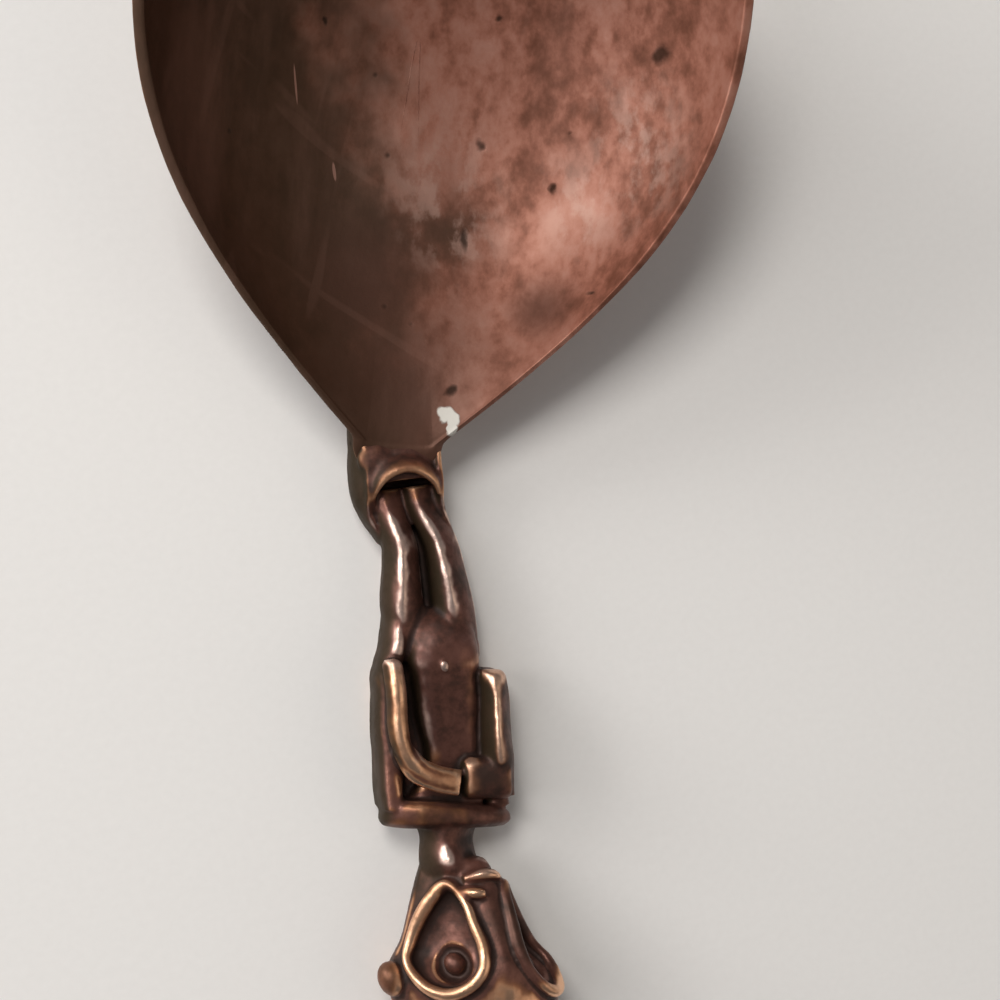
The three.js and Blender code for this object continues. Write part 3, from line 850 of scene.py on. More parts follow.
@dataclass
class CuffAndLegs:
    """The cuff at the bowl's throat, with a lintel over its mouth, and the two legs in it."""

    stance: Stance

    def cuff(self) -> Piece:
        """The cuff's body with its mouth cut out from above."""
        section = self.stance.section
        body = loft("cuff", [
            section(-4.4, 0.3, 5.9, 6.2, 2.4, 2.6, 2.2, 0.0, 4.2),
            section(-1.8, 0.0, 5.8, 7.1, 1.6, 3.0, 2.2, 0.0, 3.8),
            section(0.0, 0.0, 5.9, 7.5, 1.3, 3.0, 2.2, 0.0, 3.4),
            section(2.6, -0.35, 6.0, 7.8, 1.0, 2.8, 2.8, 0.0, 3.2),
            section(5.2, -0.5, 6.0, 7.9, 1.0, 2.8, 2.8, 0.0, 3.2),
            section(7.0, -0.5, 5.8, 7.4, 1.0, 2.8, 2.8, 0.0, 3.2),
            section(8.6, -0.45, 5.4, 6.2, 1.0, 2.6, 2.8, 0.0, 3.0),
        ])
        mouth = loft("mouth", [
            section(3.9, 0.5, 2.6, 6.5, 3.8),
            section(4.8, 0.5, 3.6, 7.2, 3.0),
            section(5.8, 0.4, 4.0, 10.4, 2.6, 4.0),
            section(7.2, 0.4, 4.3, 10.4, 2.4, 4.0),
            section(9.8, 0.3, 4.6, 10.4, 2.2, 4.0),
        ])
        carve(body, [mouth])
        return body

    def folds(self) -> list[Piece]:
        """The folds that run on from the bowl's two rims, and the gabled lintel over the mouth."""
        spot = self.stance.spot

        def thinning(share: float) -> tuple[float, float]:
            size = mix(0.5, 0.4, share)
            return size, size

        def lintel_size(share: float) -> tuple[float, float]:
            swell = mix(0.6, 1.0, math.sin(math.pi * share))
            return 1.75 * swell, 0.85 * swell

        left = bar("left_fold", [
            spot(-5.4, -3.0, 6.6), spot(-4.8, -1.0, 7.2), spot(-4.35, 0.8, 7.5),
            spot(-4.4, 2.6, 7.5), spot(-4.7, 4.6, 7.4), spot(-4.9, 6.6, 6.9), spot(-5.0, 8.6, 5.6),
        ], thinning, Vector((1, 0, 0)), steps=30)
        right = bar("right_fold", [
            spot(5.6, -1.2, 7.2), spot(5.1, 0.6, 7.0), spot(4.8, 3.0, 7.1), spot(4.6, 6.4, 6.8),
            spot(4.5, 8.6, 5.6),
        ], thinning, Vector((1, 0, 0)), steps=24)
        lintel = bar("lintel", [
            spot(-4.7, 6.6, 6.2), spot(-3.6, 4.6, 7.5), spot(-1.9, 3.3, 8.0), spot(0.2, 2.9, 8.1),
            spot(2.1, 3.5, 8.0), spot(3.7, 5.0, 7.3), spot(4.4, 6.7, 6.2),
        ], lintel_size, Vector((0, 1, -0.5)), steps=40, square=2.2)
        facet = knob("throat_facet", spot(-3.2, 1.9, 7.1), Vector((2.5, 2.4, 0.95)))
        return [left, right, lintel, facet]

    def heel(self, side: Side) -> Piece:
        """The side of the cuff where it thins out along the leg."""
        section, way = self.stance.section, side.value
        return loft(f"{side.name.lower()}_heel", [
            section(6.0, way * 4.9 - 0.3, 0.9, 6.6, 1.2),
            section(9.0, way * 4.6 - 0.3, 0.9, 5.8, 1.0),
            section(12.6, way * 4.3, 0.7, 4.8, 1.0),
        ], steps=8)

    def leg(self, side: Side) -> Piece:
        """One leg, with a ridge along its top that leans to the figure's left.

        Args:
            side: Which leg.

        Returns:
            The leg's form.
        """
        rows = (
            (5.6, 2.1, 6.0, 2.6, 0.3, -0.6, -0.9),
            (9.4, 2.2, 6.9, 2.0, 0.3, -0.3, -0.9),
            (15.2, 2.4, 7.6, 1.0, 0.9, -0.4, -0.9),
            (21.0, 2.8, 7.7, 1.0, 0.9, -0.6, -0.7),
            (26.8, 2.8, 7.0, 1.0, 0.5, -1.3, -0.7),
        )
        return loft(f"{side.name.lower()}_leg_form", [
            self.stance.section(
                back, side.value * (gap / 2 + half), half, top, bottom, 1.5, 2.8,
                left_lean if side is Side.LEFT else right_lean, 4.6,
            )
            for back, half, top, bottom, gap, left_lean, right_lean in rows
        ])

    def web(self) -> Piece:
        """The metal left low down between the legs, which shuts the slot from behind."""
        section = self.stance.section
        return loft("web", [
            section(8.8, 0.0, 2.2, 3.2, 1.4, 3.0, 3.0),
            section(26.0, 0.0, 2.6, 3.2, 1.4, 3.0, 3.0),
        ], steps=8)

    def forms(self) -> list[Piece]:
        """All forms of the cuff and the legs."""
        forms = [self.cuff(), *self.folds(), self.web()]
        for side in Side:
            forms += [self.leg(side), self.heel(side)]
        return forms


@dataclass
class TrunkAndArms:
    """The hips, the belly with its navel, the bent arms, the shoulders and the neck."""

    stance: Stance
    hand_meeting: float = 1.5

    def body(self) -> list[Piece]:
        """The low slab of the trunk, the raised panel of belly and chest, and the navel."""
        section = self.stance.section
        slab = loft("slab", [
            section(23.6, 0.0, 5.6, 5.0, 1.0, 3.4, 3.0),
            section(25.4, 0.0, 6.1, 6.4, 1.0, 3.4, 3.0),
            section(27.2, 0.0, 6.0, 6.2, 1.0, 3.4, 3.0),
            section(29.6, 0.0, 5.3, 4.6, 1.0, 3.4, 3.0),
            section(36.0, 0.0, 5.3, 4.2, 1.0, 3.4, 3.0),
            section(45.2, 0.0, 5.6, 4.4, 1.0, 3.4, 3.0),
        ])
        panel = loft("panel", [
            section(21.2, 1.8, 2.4, 6.0, 3.0, 2.2, 3.0),
            section(23.2, 1.2, 4.0, 7.5, 2.6, 2.2, 3.0),
            section(25.4, 0.9, 4.6, 8.3, 2.0, 2.4, 3.0),
            section(27.8, 0.8, 4.7, 8.4, 2.0, 2.8, 3.0),
            section(30.0, 0.8, 4.2, 8.0, 2.0, 3.4, 3.0),
            section(34.0, 0.9, 4.0, 7.3, 2.0, 3.8, 3.0),
            section(38.5, 1.3, 3.6, 6.9, 2.0, 3.8, 3.0),
            section(42.0, 1.2, 3.8, 6.7, 2.0, 3.6, 3.0),
            section(45.4, 0.2, 5.0, 6.4, 2.0, 3.6, 3.0),
        ])
        navel = knob("navel", self.stance.spot(0.35, 28.4, 8.0), Vector((0.75, 0.95, 0.7)))
        return [slab, panel, navel]

    def hip(self) -> Piece:
        """The left hip, which runs on from the thigh to the elbow without a step."""
        section = self.stance.section
        return loft("left_hip", [
            section(18.0, -3.9, 1.4, 5.4, 1.6, 2.0, 3.0),
            section(22.0, -4.3, 1.6, 6.9, 1.3, 1.9, 3.0),
            section(24.5, -4.7, 1.8, 7.7, 1.2, 1.8, 3.0),
            section(26.6, -5.2, 1.8, 8.1, 1.0, 1.9, 3.0),
            section(28.4, -6.0, 1.7, 7.8, 1.0, 2.4, 3.0),
            section(30.5, -6.4, 1.8, 7.4, 1.0, 2.6, 3.0),
        ])

    def left_forearm(self) -> Piece:
        """The left forearm, a rounded bar on its wall that bends into the hand."""
        spot = self.stance.spot

        def size(share: float) -> tuple[float, float]:
            elbow = mix(0.75, 1.0, step(share, 0.0, 0.05))
            half = mix(1.35, 1.75, step(share, 0.55, 0.85))
            return half * elbow, mix(1.6, 1.25, step(share, 0.6, 1.0)) * elbow

        return bar("left_forearm", [
            spot(-6.1, 27.9, 7.9), spot(-6.15, 30.4, 8.6), spot(-6.15, 33.4, 8.75),
            spot(-6.05, 36.2, 8.8), spot(-5.6, 38.9, 8.8), spot(-4.2, 41.0, 8.7),
            spot(-1.8, 42.3, 8.5), spot(self.hand_meeting - 0.3, 42.9, 8.2),
        ], size, Vector((1, 0, 0)), steps=60, count=20, square=1.9)

    def right_forearm(self) -> Piece:
        """The right forearm, a ridge over a straight wall. The ridge leans to the middle."""
        rows = (
            (28.7, 6.6, 1.1, 8.2, 2.4, 2.4, 0.0),
            (29.5, 6.7, 1.75, 9.5, 1.4, 1.9, -0.4),
            (32.4, 6.75, 1.85, 10.0, 1.0, 1.5, -0.55),
            (36.4, 6.75, 1.95, 10.2, 1.0, 1.5, -0.5),
            (39.0, 6.7, 2.05, 10.1, 1.0, 1.55, -0.4),
            (41.6, 6.7, 2.0, 9.0, 1.0, 1.8, -0.3),
            (44.6, 6.8, 1.8, 7.8, 1.0, 2.4, 0.0),
        )
        return loft("right_forearm", [
            self.stance.section(back, across, half, top, bottom, crown, 6.0, lean, 7.0)
            for back, across, half, top, bottom, crown, lean in rows
        ], count=48)

    def upper_arm(self, side: Side) -> Piece:
        """One upper arm, the wall that runs from the elbow under the forearm to the shoulders.

        Args:
            side: Which arm.

        Returns:
            The upper arm's form.
        """
        rows = {
            Side.LEFT: (
                (28.4, -6.4, 1.2, 6.4, 1.6), (30.6, -6.55, 1.7, 7.6, 1.0),
                (36.0, -6.75, 1.75, 7.6, 1.0), (42.0, -6.9, 1.7, 8.0, 1.0),
                (46.4, -7.0, 1.5, 8.6, 1.0),
            ),
            Side.RIGHT: (
                (28.6, 6.5, 1.1, 5.0, 1.6), (30.6, 6.5, 1.6, 5.8, 1.0),
                (38.0, 6.75, 1.65, 6.0, 1.0), (46.0, 6.95, 1.6, 6.0, 1.0),
            ),
        }[side]
        return loft(f"{side.name.lower()}_upper_arm", [
            self.stance.section(back, across, half, top, bottom, 2.8, 4.0)
            for back, across, half, top, bottom in rows
        ], steps=8)

    def folded_gap(self) -> Piece:
        """The shallow groove on the outside between the right upper arm and its forearm."""
        spot = self.stance.spot

        def size(share: float) -> tuple[float, float]:
            swell = math.sin(math.pi * mix(0.12, 0.88, share))
            return 0.55 * swell, 0.3 * swell

        return bar("right_gap", [
            spot(8.3, 31.4, 5.9), spot(8.45, 35.0, 6.1), spot(8.6, 39.0, 6.2),
            spot(8.6, 43.6, 6.4),
        ], size, Vector((1, 0, 0)), steps=24)

    def left_hand(self) -> list[Piece]:
        """What lies on the left hand: its outer edge and the thumb."""
        spot, meeting = self.stance.spot, self.hand_meeting

        def edge_size(share: float) -> tuple[float, float]:
            size = mix(0.75, 0.6, share)
            return size, size

        def thumb_size(share: float) -> tuple[float, float]:
            size = mix(0.65, 0.5, share)
            return size, size

        edge = bar("left_hand_edge", [
            spot(-6.2, 39.4, 8.7), spot(-4.9, 41.9, 9.1), spot(-2.4, 43.2, 9.0),
            spot(meeting - 0.4, 44.0, 8.6),
        ], edge_size, Vector((0, 1, 0)), steps=30)
        thumb = bar("left_thumb", [
            spot(-4.9, 38.6, 8.9), spot(-3.6, 40.2, 9.3), spot(-1.7, 41.3, 9.1),
            spot(meeting - 0.4, 41.9, 8.8),
        ], thumb_size, Vector((0, 1, 0)), steps=30)
        return [edge, thumb]

    def right_hand(self) -> Piece:
        """The right hand, a squarish block."""
        section = self.stance.section
        inner, outer = self.hand_meeting + 0.35, 8.0
        middle, half = (inner + outer) / 2, (outer - inner) / 2
        return loft("right_hand_block", [
            section(39.7, middle + 0.3, half - 0.6, 8.2, 5.6, 4.0, 4.0),
            section(40.5, middle, half, 9.1, 5.2, 4.6, 4.0),
            section(42.5, middle, half, 9.4, 5.2, 4.6, 4.0),
            section(44.0, middle, half, 9.1, 5.2, 4.6, 4.0),
            section(44.9, middle, half - 0.4, 8.2, 5.6, 4.0, 4.0),
        ], count=48)

    def shoulders(self) -> list[Piece]:
        """The band of the shoulders, which falls toward the right, and the neck behind it."""
        section = self.stance.section
        yoke = loft("yoke", [
            section(45.0, -0.2, 7.5, 8.4, 1.0, 2.6, 3.0),
            section(45.6, -0.1, 8.2, 9.4, 1.0, 2.6, 3.0),
            section(46.6, 0.0, 8.4, 9.7, 1.0, 2.6, 3.0),
            section(47.8, 0.0, 8.4, 9.4, 1.0, 2.6, 3.0),
            section(48.6, 0.0, 7.8, 8.2, 1.0, 2.6, 3.0),
        ], count=64)
        reach, drop, slant = 12.0, 1.6, 1.1
        back_edge = self.stance.throat.y - 48.6
        for vertex in yoke.data.vertices:
            right = vertex.co.x / MM - self.stance.throat.x + reach / 3
            share = min(max(right / reach, 0.0), 1.0)
            high = step(vertex.co.z / MM, 2.0, 9.0)
            front = step(vertex.co.y / MM, back_edge, back_edge + 3.6)
            vertex.co.z -= drop * high * share * MM
            vertex.co.y -= slant * front * share * MM
        neck = loft("neck_form", [
            section(47.8, 0.2, 4.3, 8.6, 2.0, 1.7, 2.2, -0.6, 4.2),
            section(50.0, 0.4, 3.5, 8.5, 2.0, 1.6, 2.2, -0.9, 4.2),
            section(52.2, 0.2, 3.7, 9.1, 2.0, 1.6, 2.2, -0.6, 4.6),
            section(53.8, 0.2, 3.8, 9.2, 1.8, 1.7, 2.2, 0.0, 5.0),
            section(56.0, 0.4, 3.4, 7.6, 1.6, 1.9, 2.2, 0.6, 5.2),
        ])
        return [yoke, neck]

    def forms(self) -> list[Piece]:
        """All forms of the trunk, the arms, the shoulders and the neck."""
        right_forearm = self.right_forearm()
        carve(right_forearm, [self.folded_gap()])
        return [
            *self.body(), self.hip(), self.left_forearm(), right_forearm,
            self.upper_arm(Side.LEFT), self.upper_arm(Side.RIGHT), *self.left_hand(),
            self.right_hand(), *self.shoulders(),
        ]


@dataclass
class Head:
    """The head: a plain crown, a ridged face with ringed eyes, two lips and two ear knobs.

    Crosswise sizes on the face count from its ridge.
    """

    stance: Stance
    back_lift: float = 1.0
    worn_flat: float = 0.35
    chin_half_width: float = 3.4
    chin_top: float = 9.6
    eye_line: float = 8.9
    eye_line_half_width: float = 7.3
    eye_line_top: float = 13.2
    ear_line_half_width: float = 10.1
    top: float = 14.2
    waist: float = 5.4
    face_shift: float = 3.2
    crown_taper: float = 0.6
    eye_from_chin: float = 8.5
    eye_half_length: float = 6.4
    eye_half_width: float = 3.0
    eye_lean: float = 0.26
    ridge_half_width: float = 0.9
    ring_radius: float = 0.8
    ring_lift: float = 0.35
    cup_depth: float = 1.5
    socket_radius: float = 2.7
    bead_radius: float = 1.4
    bead_back: float = 2.4
    lip_radius: float = 0.8
    ear_radius: float = 2.0
    ear_length: float = 4.4
    ear_height: float = 6.2

    def sections(self) -> list[Section]:
        """The head's sections from the chin to the crown."""
        chin = self.stance.chin
        ear_line = chin - self.stance.ear_line
        crown_length = self.stance.head_length - self.stance.ear_line
        middle = self.stance.throat.x
        rows = [
            (chin + 1.3, 1.8, 7.4, 3.0, 2.0),
            (chin, self.chin_half_width, self.chin_top, self.back_lift, 2.0),
            (chin - self.eye_line, self.eye_line_half_width, self.eye_line_top, 0.0, 1.5),
            (ear_line, self.ear_line_half_width, self.top, -self.worn_flat, 1.7),
        ]
        for degrees in (35, 60, 80):
            shrink = math.cos(math.radians(degrees)) ** self.crown_taper
            rows.append((
                ear_line - crown_length * math.sin(math.radians(degrees)),
                self.ear_line_half_width * shrink,
                self.waist + (self.top - self.waist) * shrink,
                self.waist - (self.waist + self.worn_flat) * shrink,
                2.0,
            ))
        return [
            Section(y, half, top, bottom, crown, 2.6, middle, self.face_shift, self.waist)
            for y, half, top, bottom, crown in rows
        ]

    def face_at(self, across: float, back: float) -> Vector:
        """The point of the face at a distance across from its ridge and back from the chin.

        Args:
            across: The distance to the right of the ridge.
            back: The distance behind the chin.

        Returns:
            The point on the head's surface.
        """
        sizes = [section.sizes() for section in self.sections()]
        low, high = 0.0, 1.0
        y = self.stance.chin - back
        for _ in range(24):
            middle = (low + high) / 2
            if along(sizes, middle)[0] > y:
                low = middle
            else:
                high = middle
        _, half, top, _, crown, _, x, shift, waist = along(sizes, low)
        outward = min(abs(across) / half, 1)
        level = (1 - outward ** crown) ** (1 / crown)
        return Vector((x + across + shift * level, y, waist + (top - waist) * level))

    def face_frame(self, across: float, back: float) -> Matrix:
        """A frame on the face whose third axis stands square on the surface.

        Args:
            across: The distance to the right of the ridge.
            back: The distance behind the chin.

        Returns:
            The frame, in millimetres.
        """
        right = (self.face_at(across + 1, back) - self.face_at(across - 1, back)).normalized()
        forward = (self.face_at(across, back - 1) - self.face_at(across, back + 1)).normalized()
        out = right.cross(forward).normalized()
        turn = Matrix((right, out.cross(right), out)).transposed()
        return Matrix.Translation(self.face_at(across, back)) @ turn.to_4x4()

    def eye_across(self, side: Side) -> float:
        """How far an eye's middle lies from the ridge."""
        return side.value * (self.ridge_half_width + self.ring_radius + self.eye_half_width)

    def eye_outline(self, side: Side, scale: float, lift: float) -> list[Vector]:
        """The outline of an eye on the face, narrow toward the mouth.

        Args:
            side: Which eye.
            scale: Its size, where 1 is the middle line of the ring.
            lift: How far it stands out from the face.

        Returns:
            Points round the eye.
        """
        shares = (
            (0.1, 1.0), (0.45, 0.5), (0.75, -0.15), (0.98, -0.55), (0.6, -0.9), (0.0, -1.0),
            (-0.6, -0.83), (-1.0, -0.5), (-1.0, -0.1), (-0.7, 0.3), (-0.35, 0.75),
        )
        out = self.face_frame(self.eye_across(side), self.eye_from_chin).col[2].to_3d()
        points = []
        for outward, forward in shares:
            ahead = forward * self.eye_half_length * scale
            aside = outward * self.eye_half_width * scale - self.eye_lean * ahead
            across = self.eye_across(side) + side.value * aside
            points.append(self.face_at(across, self.eye_from_chin - ahead) + out * lift)
        return points

    def bead_frame(self, side: Side) -> Matrix:
        """The frame on the face at the bead of one eye."""
        aside = self.eye_lean * self.bead_back
        across = self.eye_across(side) + side.value * aside
        return self.face_frame(across, self.eye_from_chin + self.bead_back)

    def hollows(self, side: Side) -> list[Piece]:
        """The hollow of one eye, and the deeper socket round its bead.

        Args:
            side: Which eye.

        Returns:
            The forms to cut away.
        """
        count = 48
        levels = (
            (1.06, 2.0), (1.0, 0.8), (0.92, 0.0), (0.8, -0.7), (0.6, -1.2), (0.35, -1.45),
            (0.1, -1.5),
        )
        rings = []
        for scale, depth in levels:
            outline = self.eye_outline(side, scale, depth * self.cup_depth / 1.5)
            rings.append([along(outline, spoke / count, closed=True) for spoke in range(count)])
        cup = draw_out(f"{side.name.lower()}_cup", rings)
        place = self.bead_frame(side)
        socket = knob(
            "socket", place @ Vector((0, 0, -0.5)),
            Vector((self.socket_radius, self.socket_radius, self.cup_depth + 0.5)), place,
        )
        return [cup, socket]

    def eye(self, side: Side) -> list[Piece]:
        """The thick ring of one eye and the bead in it.

        Args:
            side: Which eye.

        Returns:
            The eye's forms.
        """
        out = self.face_frame(self.eye_across(side), self.eye_from_chin).col[2].to_3d()

        def size(share: float) -> tuple[float, float]:
            swell = 1 + 0.1 * math.sin(3 * math.tau * share)
            return self.ring_radius * swell * 1.15, self.ring_radius * swell

        ring = bar(
            f"{side.name.lower()}_ring", self.eye_outline(side, 1.0, self.ring_lift), size, out,
            closed=True, steps=64,
        )
        place = self.bead_frame(side)
        bead = knob(
            f"{side.name.lower()}_bead", place @ Vector((0, 0, -self.cup_depth - 0.1)),
            Vector((self.bead_radius, self.bead_radius, self.bead_radius * 0.8)), place,
        )
        return [ring, bead]

    def lip(
        self, name: str, across: float, back: float, half_length: float, arch: float,
    ) -> Piece:
        """One lip, a bar bowed across the chin.

        Args:
            name: The object's name.
            across: Where its middle lies from the ridge.
            back: Its distance behind the chin.
            half_length: Half of its length.
            arch: How far its ends bend back.

        Returns:
            The lip's form.
        """
        points = [
            self.face_at(across + half_length * share, back + arch * share ** 2)
            + Vector((0, 0, 0.35))
            for share in (-1, -0.5, 0, 0.5, 1)
        ]

        def size(share: float) -> tuple[float, float]:
            taper = self.lip_radius * mix(0.6, 1.0, math.sin(math.pi * share))
            return taper, taper * 1.2

        return bar(name, points, size, Vector((0, 1, 0)), steps=28)

    def ear(self, side: Side) -> Piece:
        """One ear knob.

        Args:
            side: Which ear.

        Returns:
            The knob's form.
        """
        out = side.value * (self.ear_line_half_width - self.ear_radius / 4)
        return knob(
            f"{side.name.lower()}_ear_form",
            self.stance.spot(out, self.stance.chin_back + self.stance.ear_line, self.ear_height),
            Vector((self.ear_radius, self.ear_length / 2, self.ear_radius)),
        )

    def forms(self) -> list[Piece]:
        """All forms of the head, with the eyes' hollows already cut."""
        skull = loft("skull", self.sections(), count=56, steps=10)
        carve(skull, [*self.hollows(Side.LEFT), *self.hollows(Side.RIGHT)])
        forms = [
            skull,
            self.lip("lower_lip_bar", 0.4, 0.5, 2.6, 0.8),
            self.lip("upper_lip_bar", -1.7, 2.7, 1.3, 0.0),
        ]
        for side in Side:
            forms += [*self.eye(side), self.ear(side)]
        return forms

    def spare(self, piece: Piece) -> None:
        """Keeps the beads, the right eye and the ears from looking rubbed, and paints shade into
        the right eye by marking its middle and its bead as hollows.

        Args:
            piece: The figure, with its wear already marked.
        """
        # Painted shade: the limit of 0.3 marks the right bead as a hollow, so it is darkened.
        for side, most in ((Side.LEFT, 0.5), (Side.RIGHT, 0.3)):
            bead = self.stance.by_eye(self.bead_frame(side).translation)
            keep_dull(piece, bead, radius=2.6, most=most)
        right_eye = self.stance.by_eye(
            self.face_at(self.eye_across(Side.RIGHT), self.eye_from_chin),
        )
        keep_dull(piece, right_eye, radius=8.0, most=0.56)
        ear_line = self.stance.chin_back + self.stance.ear_line
        for side in Side:
            out = side.value * (self.ear_line_half_width + self.ear_radius)
            keep_dull(piece, self.stance.by_eye(
                self.stance.spot(out, ear_line, self.ear_height),
            ), radius=4.0, most=0.62)
        # Painted shade: the middle of the right eye is marked as a hollow, so it is darkened.
        keep_dull(piece, right_eye, radius=3.6, most=0.3)


@dataclass
class Figure:
    """The whole figure: one skin over all its forms, parted into its three castings."""

    stance: Stance
    grain: float = 0.22
    hip_line: float = 24.6
    jaw_line: float = 52.4
    melted: tuple[tuple[float, float, float, float, int], ...] = (
        (-4.0, 1.4, 7.5, 3.2, 24), (-5.5, 5.0, 5.0, 5.0, 16), (0.2, 3.4, 8.0, 4.5, 8),
        (-4.6, 22.5, 7.5, 5.0, 30), (1.8, 22.5, 7.0, 4.5, 24), (4.5, 43.0, 9.0, 4.0, 10),
        (0.0, 53.6, 8.0, 5.0, 24),
    )

    def castings(self) -> tuple[Piece, Piece, Piece]:
        """Models the figure.

        Returns:
            The cuff with the legs, the trunk with the arms, and the head.
        """
        head = Head(self.stance)
        forms = [
            *CuffAndLegs(self.stance).forms(), *TrunkAndArms(self.stance).forms(), *head.forms(),
        ]
        skin = fuse("head_casting", forms, self.grain, passes=4)
        for across, back, z, radius, passes in self.melted:
            soften(skin, self.stance.spot(across, back, z), radius, passes)
        self.stance.shape_by_eye(skin)
        roughen(skin, reach=0.14, spread=3)
        rest_on_table(skin)
        self.stance.mark_wear(skin)
        head.spare(skin)
        hip, jaw = (self.stance.throat.y - back for back in (self.hip_line, self.jaw_line))
        copies = []
        for name in ("cuff_and_legs", "trunk_and_arms"):
            pick_up(skin)
            bpy.ops.object.duplicate()
            piece = bpy.context.object
            piece.name = piece.data.name = name
            copies.append(piece)
        legs, trunk = copies
        cut_off(legs, hip, keep_front=True)
        cut_off(trunk, hip, keep_front=False)
        cut_off(trunk, jaw, keep_front=True)
        cut_off(skin, jaw, keep_front=False)
        return legs, trunk, skin


class Graph:
    """Adds shader nodes to a tree and wires them."""

    def __init__(self, tree: Tree) -> None:
        """Keeps the tree that the nodes go into."""
        self.tree = tree

    def node(self, kind: str, wires: dict | None = None, **settings: object) -> bpy.types.Node:
        """Adds one node.

        Args:
            kind: The node's type.
            wires: Values or sockets for its inputs, by name or number.
            settings: Its settings by name.

        Returns:
            The node.
        """
        node = self.tree.nodes.new(kind)
        for key, setting in settings.items():
            setattr(node, key, setting)
        for key, value in (wires or {}).items():
            if isinstance(value, Socket):
                self.tree.links.new(value, node.inputs[key])
            else:
                node.inputs[key].default_value = value
        return node

    def math(self, operation: str, first: object, second: object) -> Socket:
        """One step of arithmetic on two numbers."""
        return self.node("ShaderNodeMath", {0: first, 1: second}, operation=operation).outputs[0]

    def times(self, first: object, second: object) -> Socket:
        """The product of two numbers."""
        return self.math("MULTIPLY", first, second)

    def plus(self, first: object, second: object) -> Socket:
        """The sum of two numbers."""
        return self.math("ADD", first, second)

    def less(self, first: object, second: object) -> Socket:
        """The first number less the second."""
        return self.math("SUBTRACT", first, second)

    def most(self, first: object, second: object) -> Socket:
        """The larger of two numbers."""
        return self.math("MAXIMUM", first, second)

    def vector_math(self, operation: str, *inputs: object) -> bpy.types.NodeOutputs:
        """One step of arithmetic on vectors."""
        wires = dict(enumerate(inputs))
        return self.node("ShaderNodeVectorMath", wires, operation=operation).outputs

    def spread(
        self, value: object, low: object, high: object, start: float = 0.0, end: float = 1.0,
    ) -> Socket:
        """Maps a range of values smoothly onto another."""
        wires = {"Value": value, "From Min": low, "From Max": high, "To Min": start, "To Max": end}
        return self.node("ShaderNodeMapRange", wires, interpolation_type="SMOOTHSTEP").outputs[0]

    def blend(self, share: object, first: object, second: object) -> Socket:
        """Mixes two colours."""
        wires = {0: share, 6: first, 7: second}
        return self.node("ShaderNodeMix", wires, data_type="RGBA").outputs[2]

    def noise(self, vector: object, scale: object, detail: float = 4.0) -> Socket:
        """A cloudy pattern between 0 and 1."""
        wires = {"Vector": vector, "Scale": scale, "Detail": detail, "Roughness": 0.6}
        return self.node("ShaderNodeTexNoise", wires).outputs["Fac"]

    def attribute(self, name: str) -> Socket:
        """A value that the piece's vertices carry."""
        return self.node("ShaderNodeAttribute", attribute_name=name).outputs["Fac"]

    def group(self, tree: Tree, wires: dict) -> bpy.types.NodeOutputs:
        """Adds one of the shared effects and gives its outputs."""
        return self.node("ShaderNodeGroup", wires, node_tree=tree).outputs

    def stretched(self, vector: object, scale: Colour, turn: float = 0.0) -> Socket:
        """The same coordinates, turned about Z and then stretched."""
        turned = self.node("ShaderNodeMapping", {"Vector": vector, "Rotation": (0, 0, turn)})
        wires = {"Vector": turned.outputs[0], "Scale": scale}
        return self.node("ShaderNodeMapping", wires).outputs[0]


def opaque(colour: Colour, strength: float = 1.0) -> tuple[float, float, float, float]:
    """A colour, darkened by a strength, with its fourth value.

    Args:
        colour: Red, green and blue.
        strength: What each is multiplied by.

    Returns:
        Four values, the last of which is 1.
    """
    red, green, blue = (value * strength for value in colour)
    return red, green, blue, 1


class Effect:
    """A node group in the making."""

    def __init__(self, name: str, inputs: dict[str, object], outputs: dict[str, str]) -> None:
        """Starts the group.

        Args:
            name: The group's name.
            inputs: The default value of each input: a number, or four numbers for a colour, or
                None for a vector.
            outputs: The socket type of each output.
        """
        self.tree = bpy.data.node_groups.new(name, "ShaderNodeTree")
        for label, value in inputs.items():
            kind = "NodeSocketVector" if value is None else (
                "NodeSocketColor" if isinstance(value, tuple) else "NodeSocketFloat"
            )
            socket = self.tree.interface.new_socket(label, in_out="INPUT", socket_type=kind)
            if value is not None:
                socket.default_value = value
        for label, kind in outputs.items():
            self.tree.interface.new_socket(label, in_out="OUTPUT", socket_type=kind)
        self.graph = Graph(self.tree)
        given = self.tree.nodes.new("NodeGroupInput").outputs
        self.given = {label: given[label] for label in inputs}
        self.result = self.tree.nodes.new("NodeGroupOutput")

    def give(self, **outputs: Socket) -> Tree:
        """Wires the outputs.

        Args:
            outputs: What each output gives, by name.

        Returns:
            The finished group.
        """
        for label, socket in outputs.items():
            self.tree.links.new(socket, self.result.inputs[label])
        return self.tree


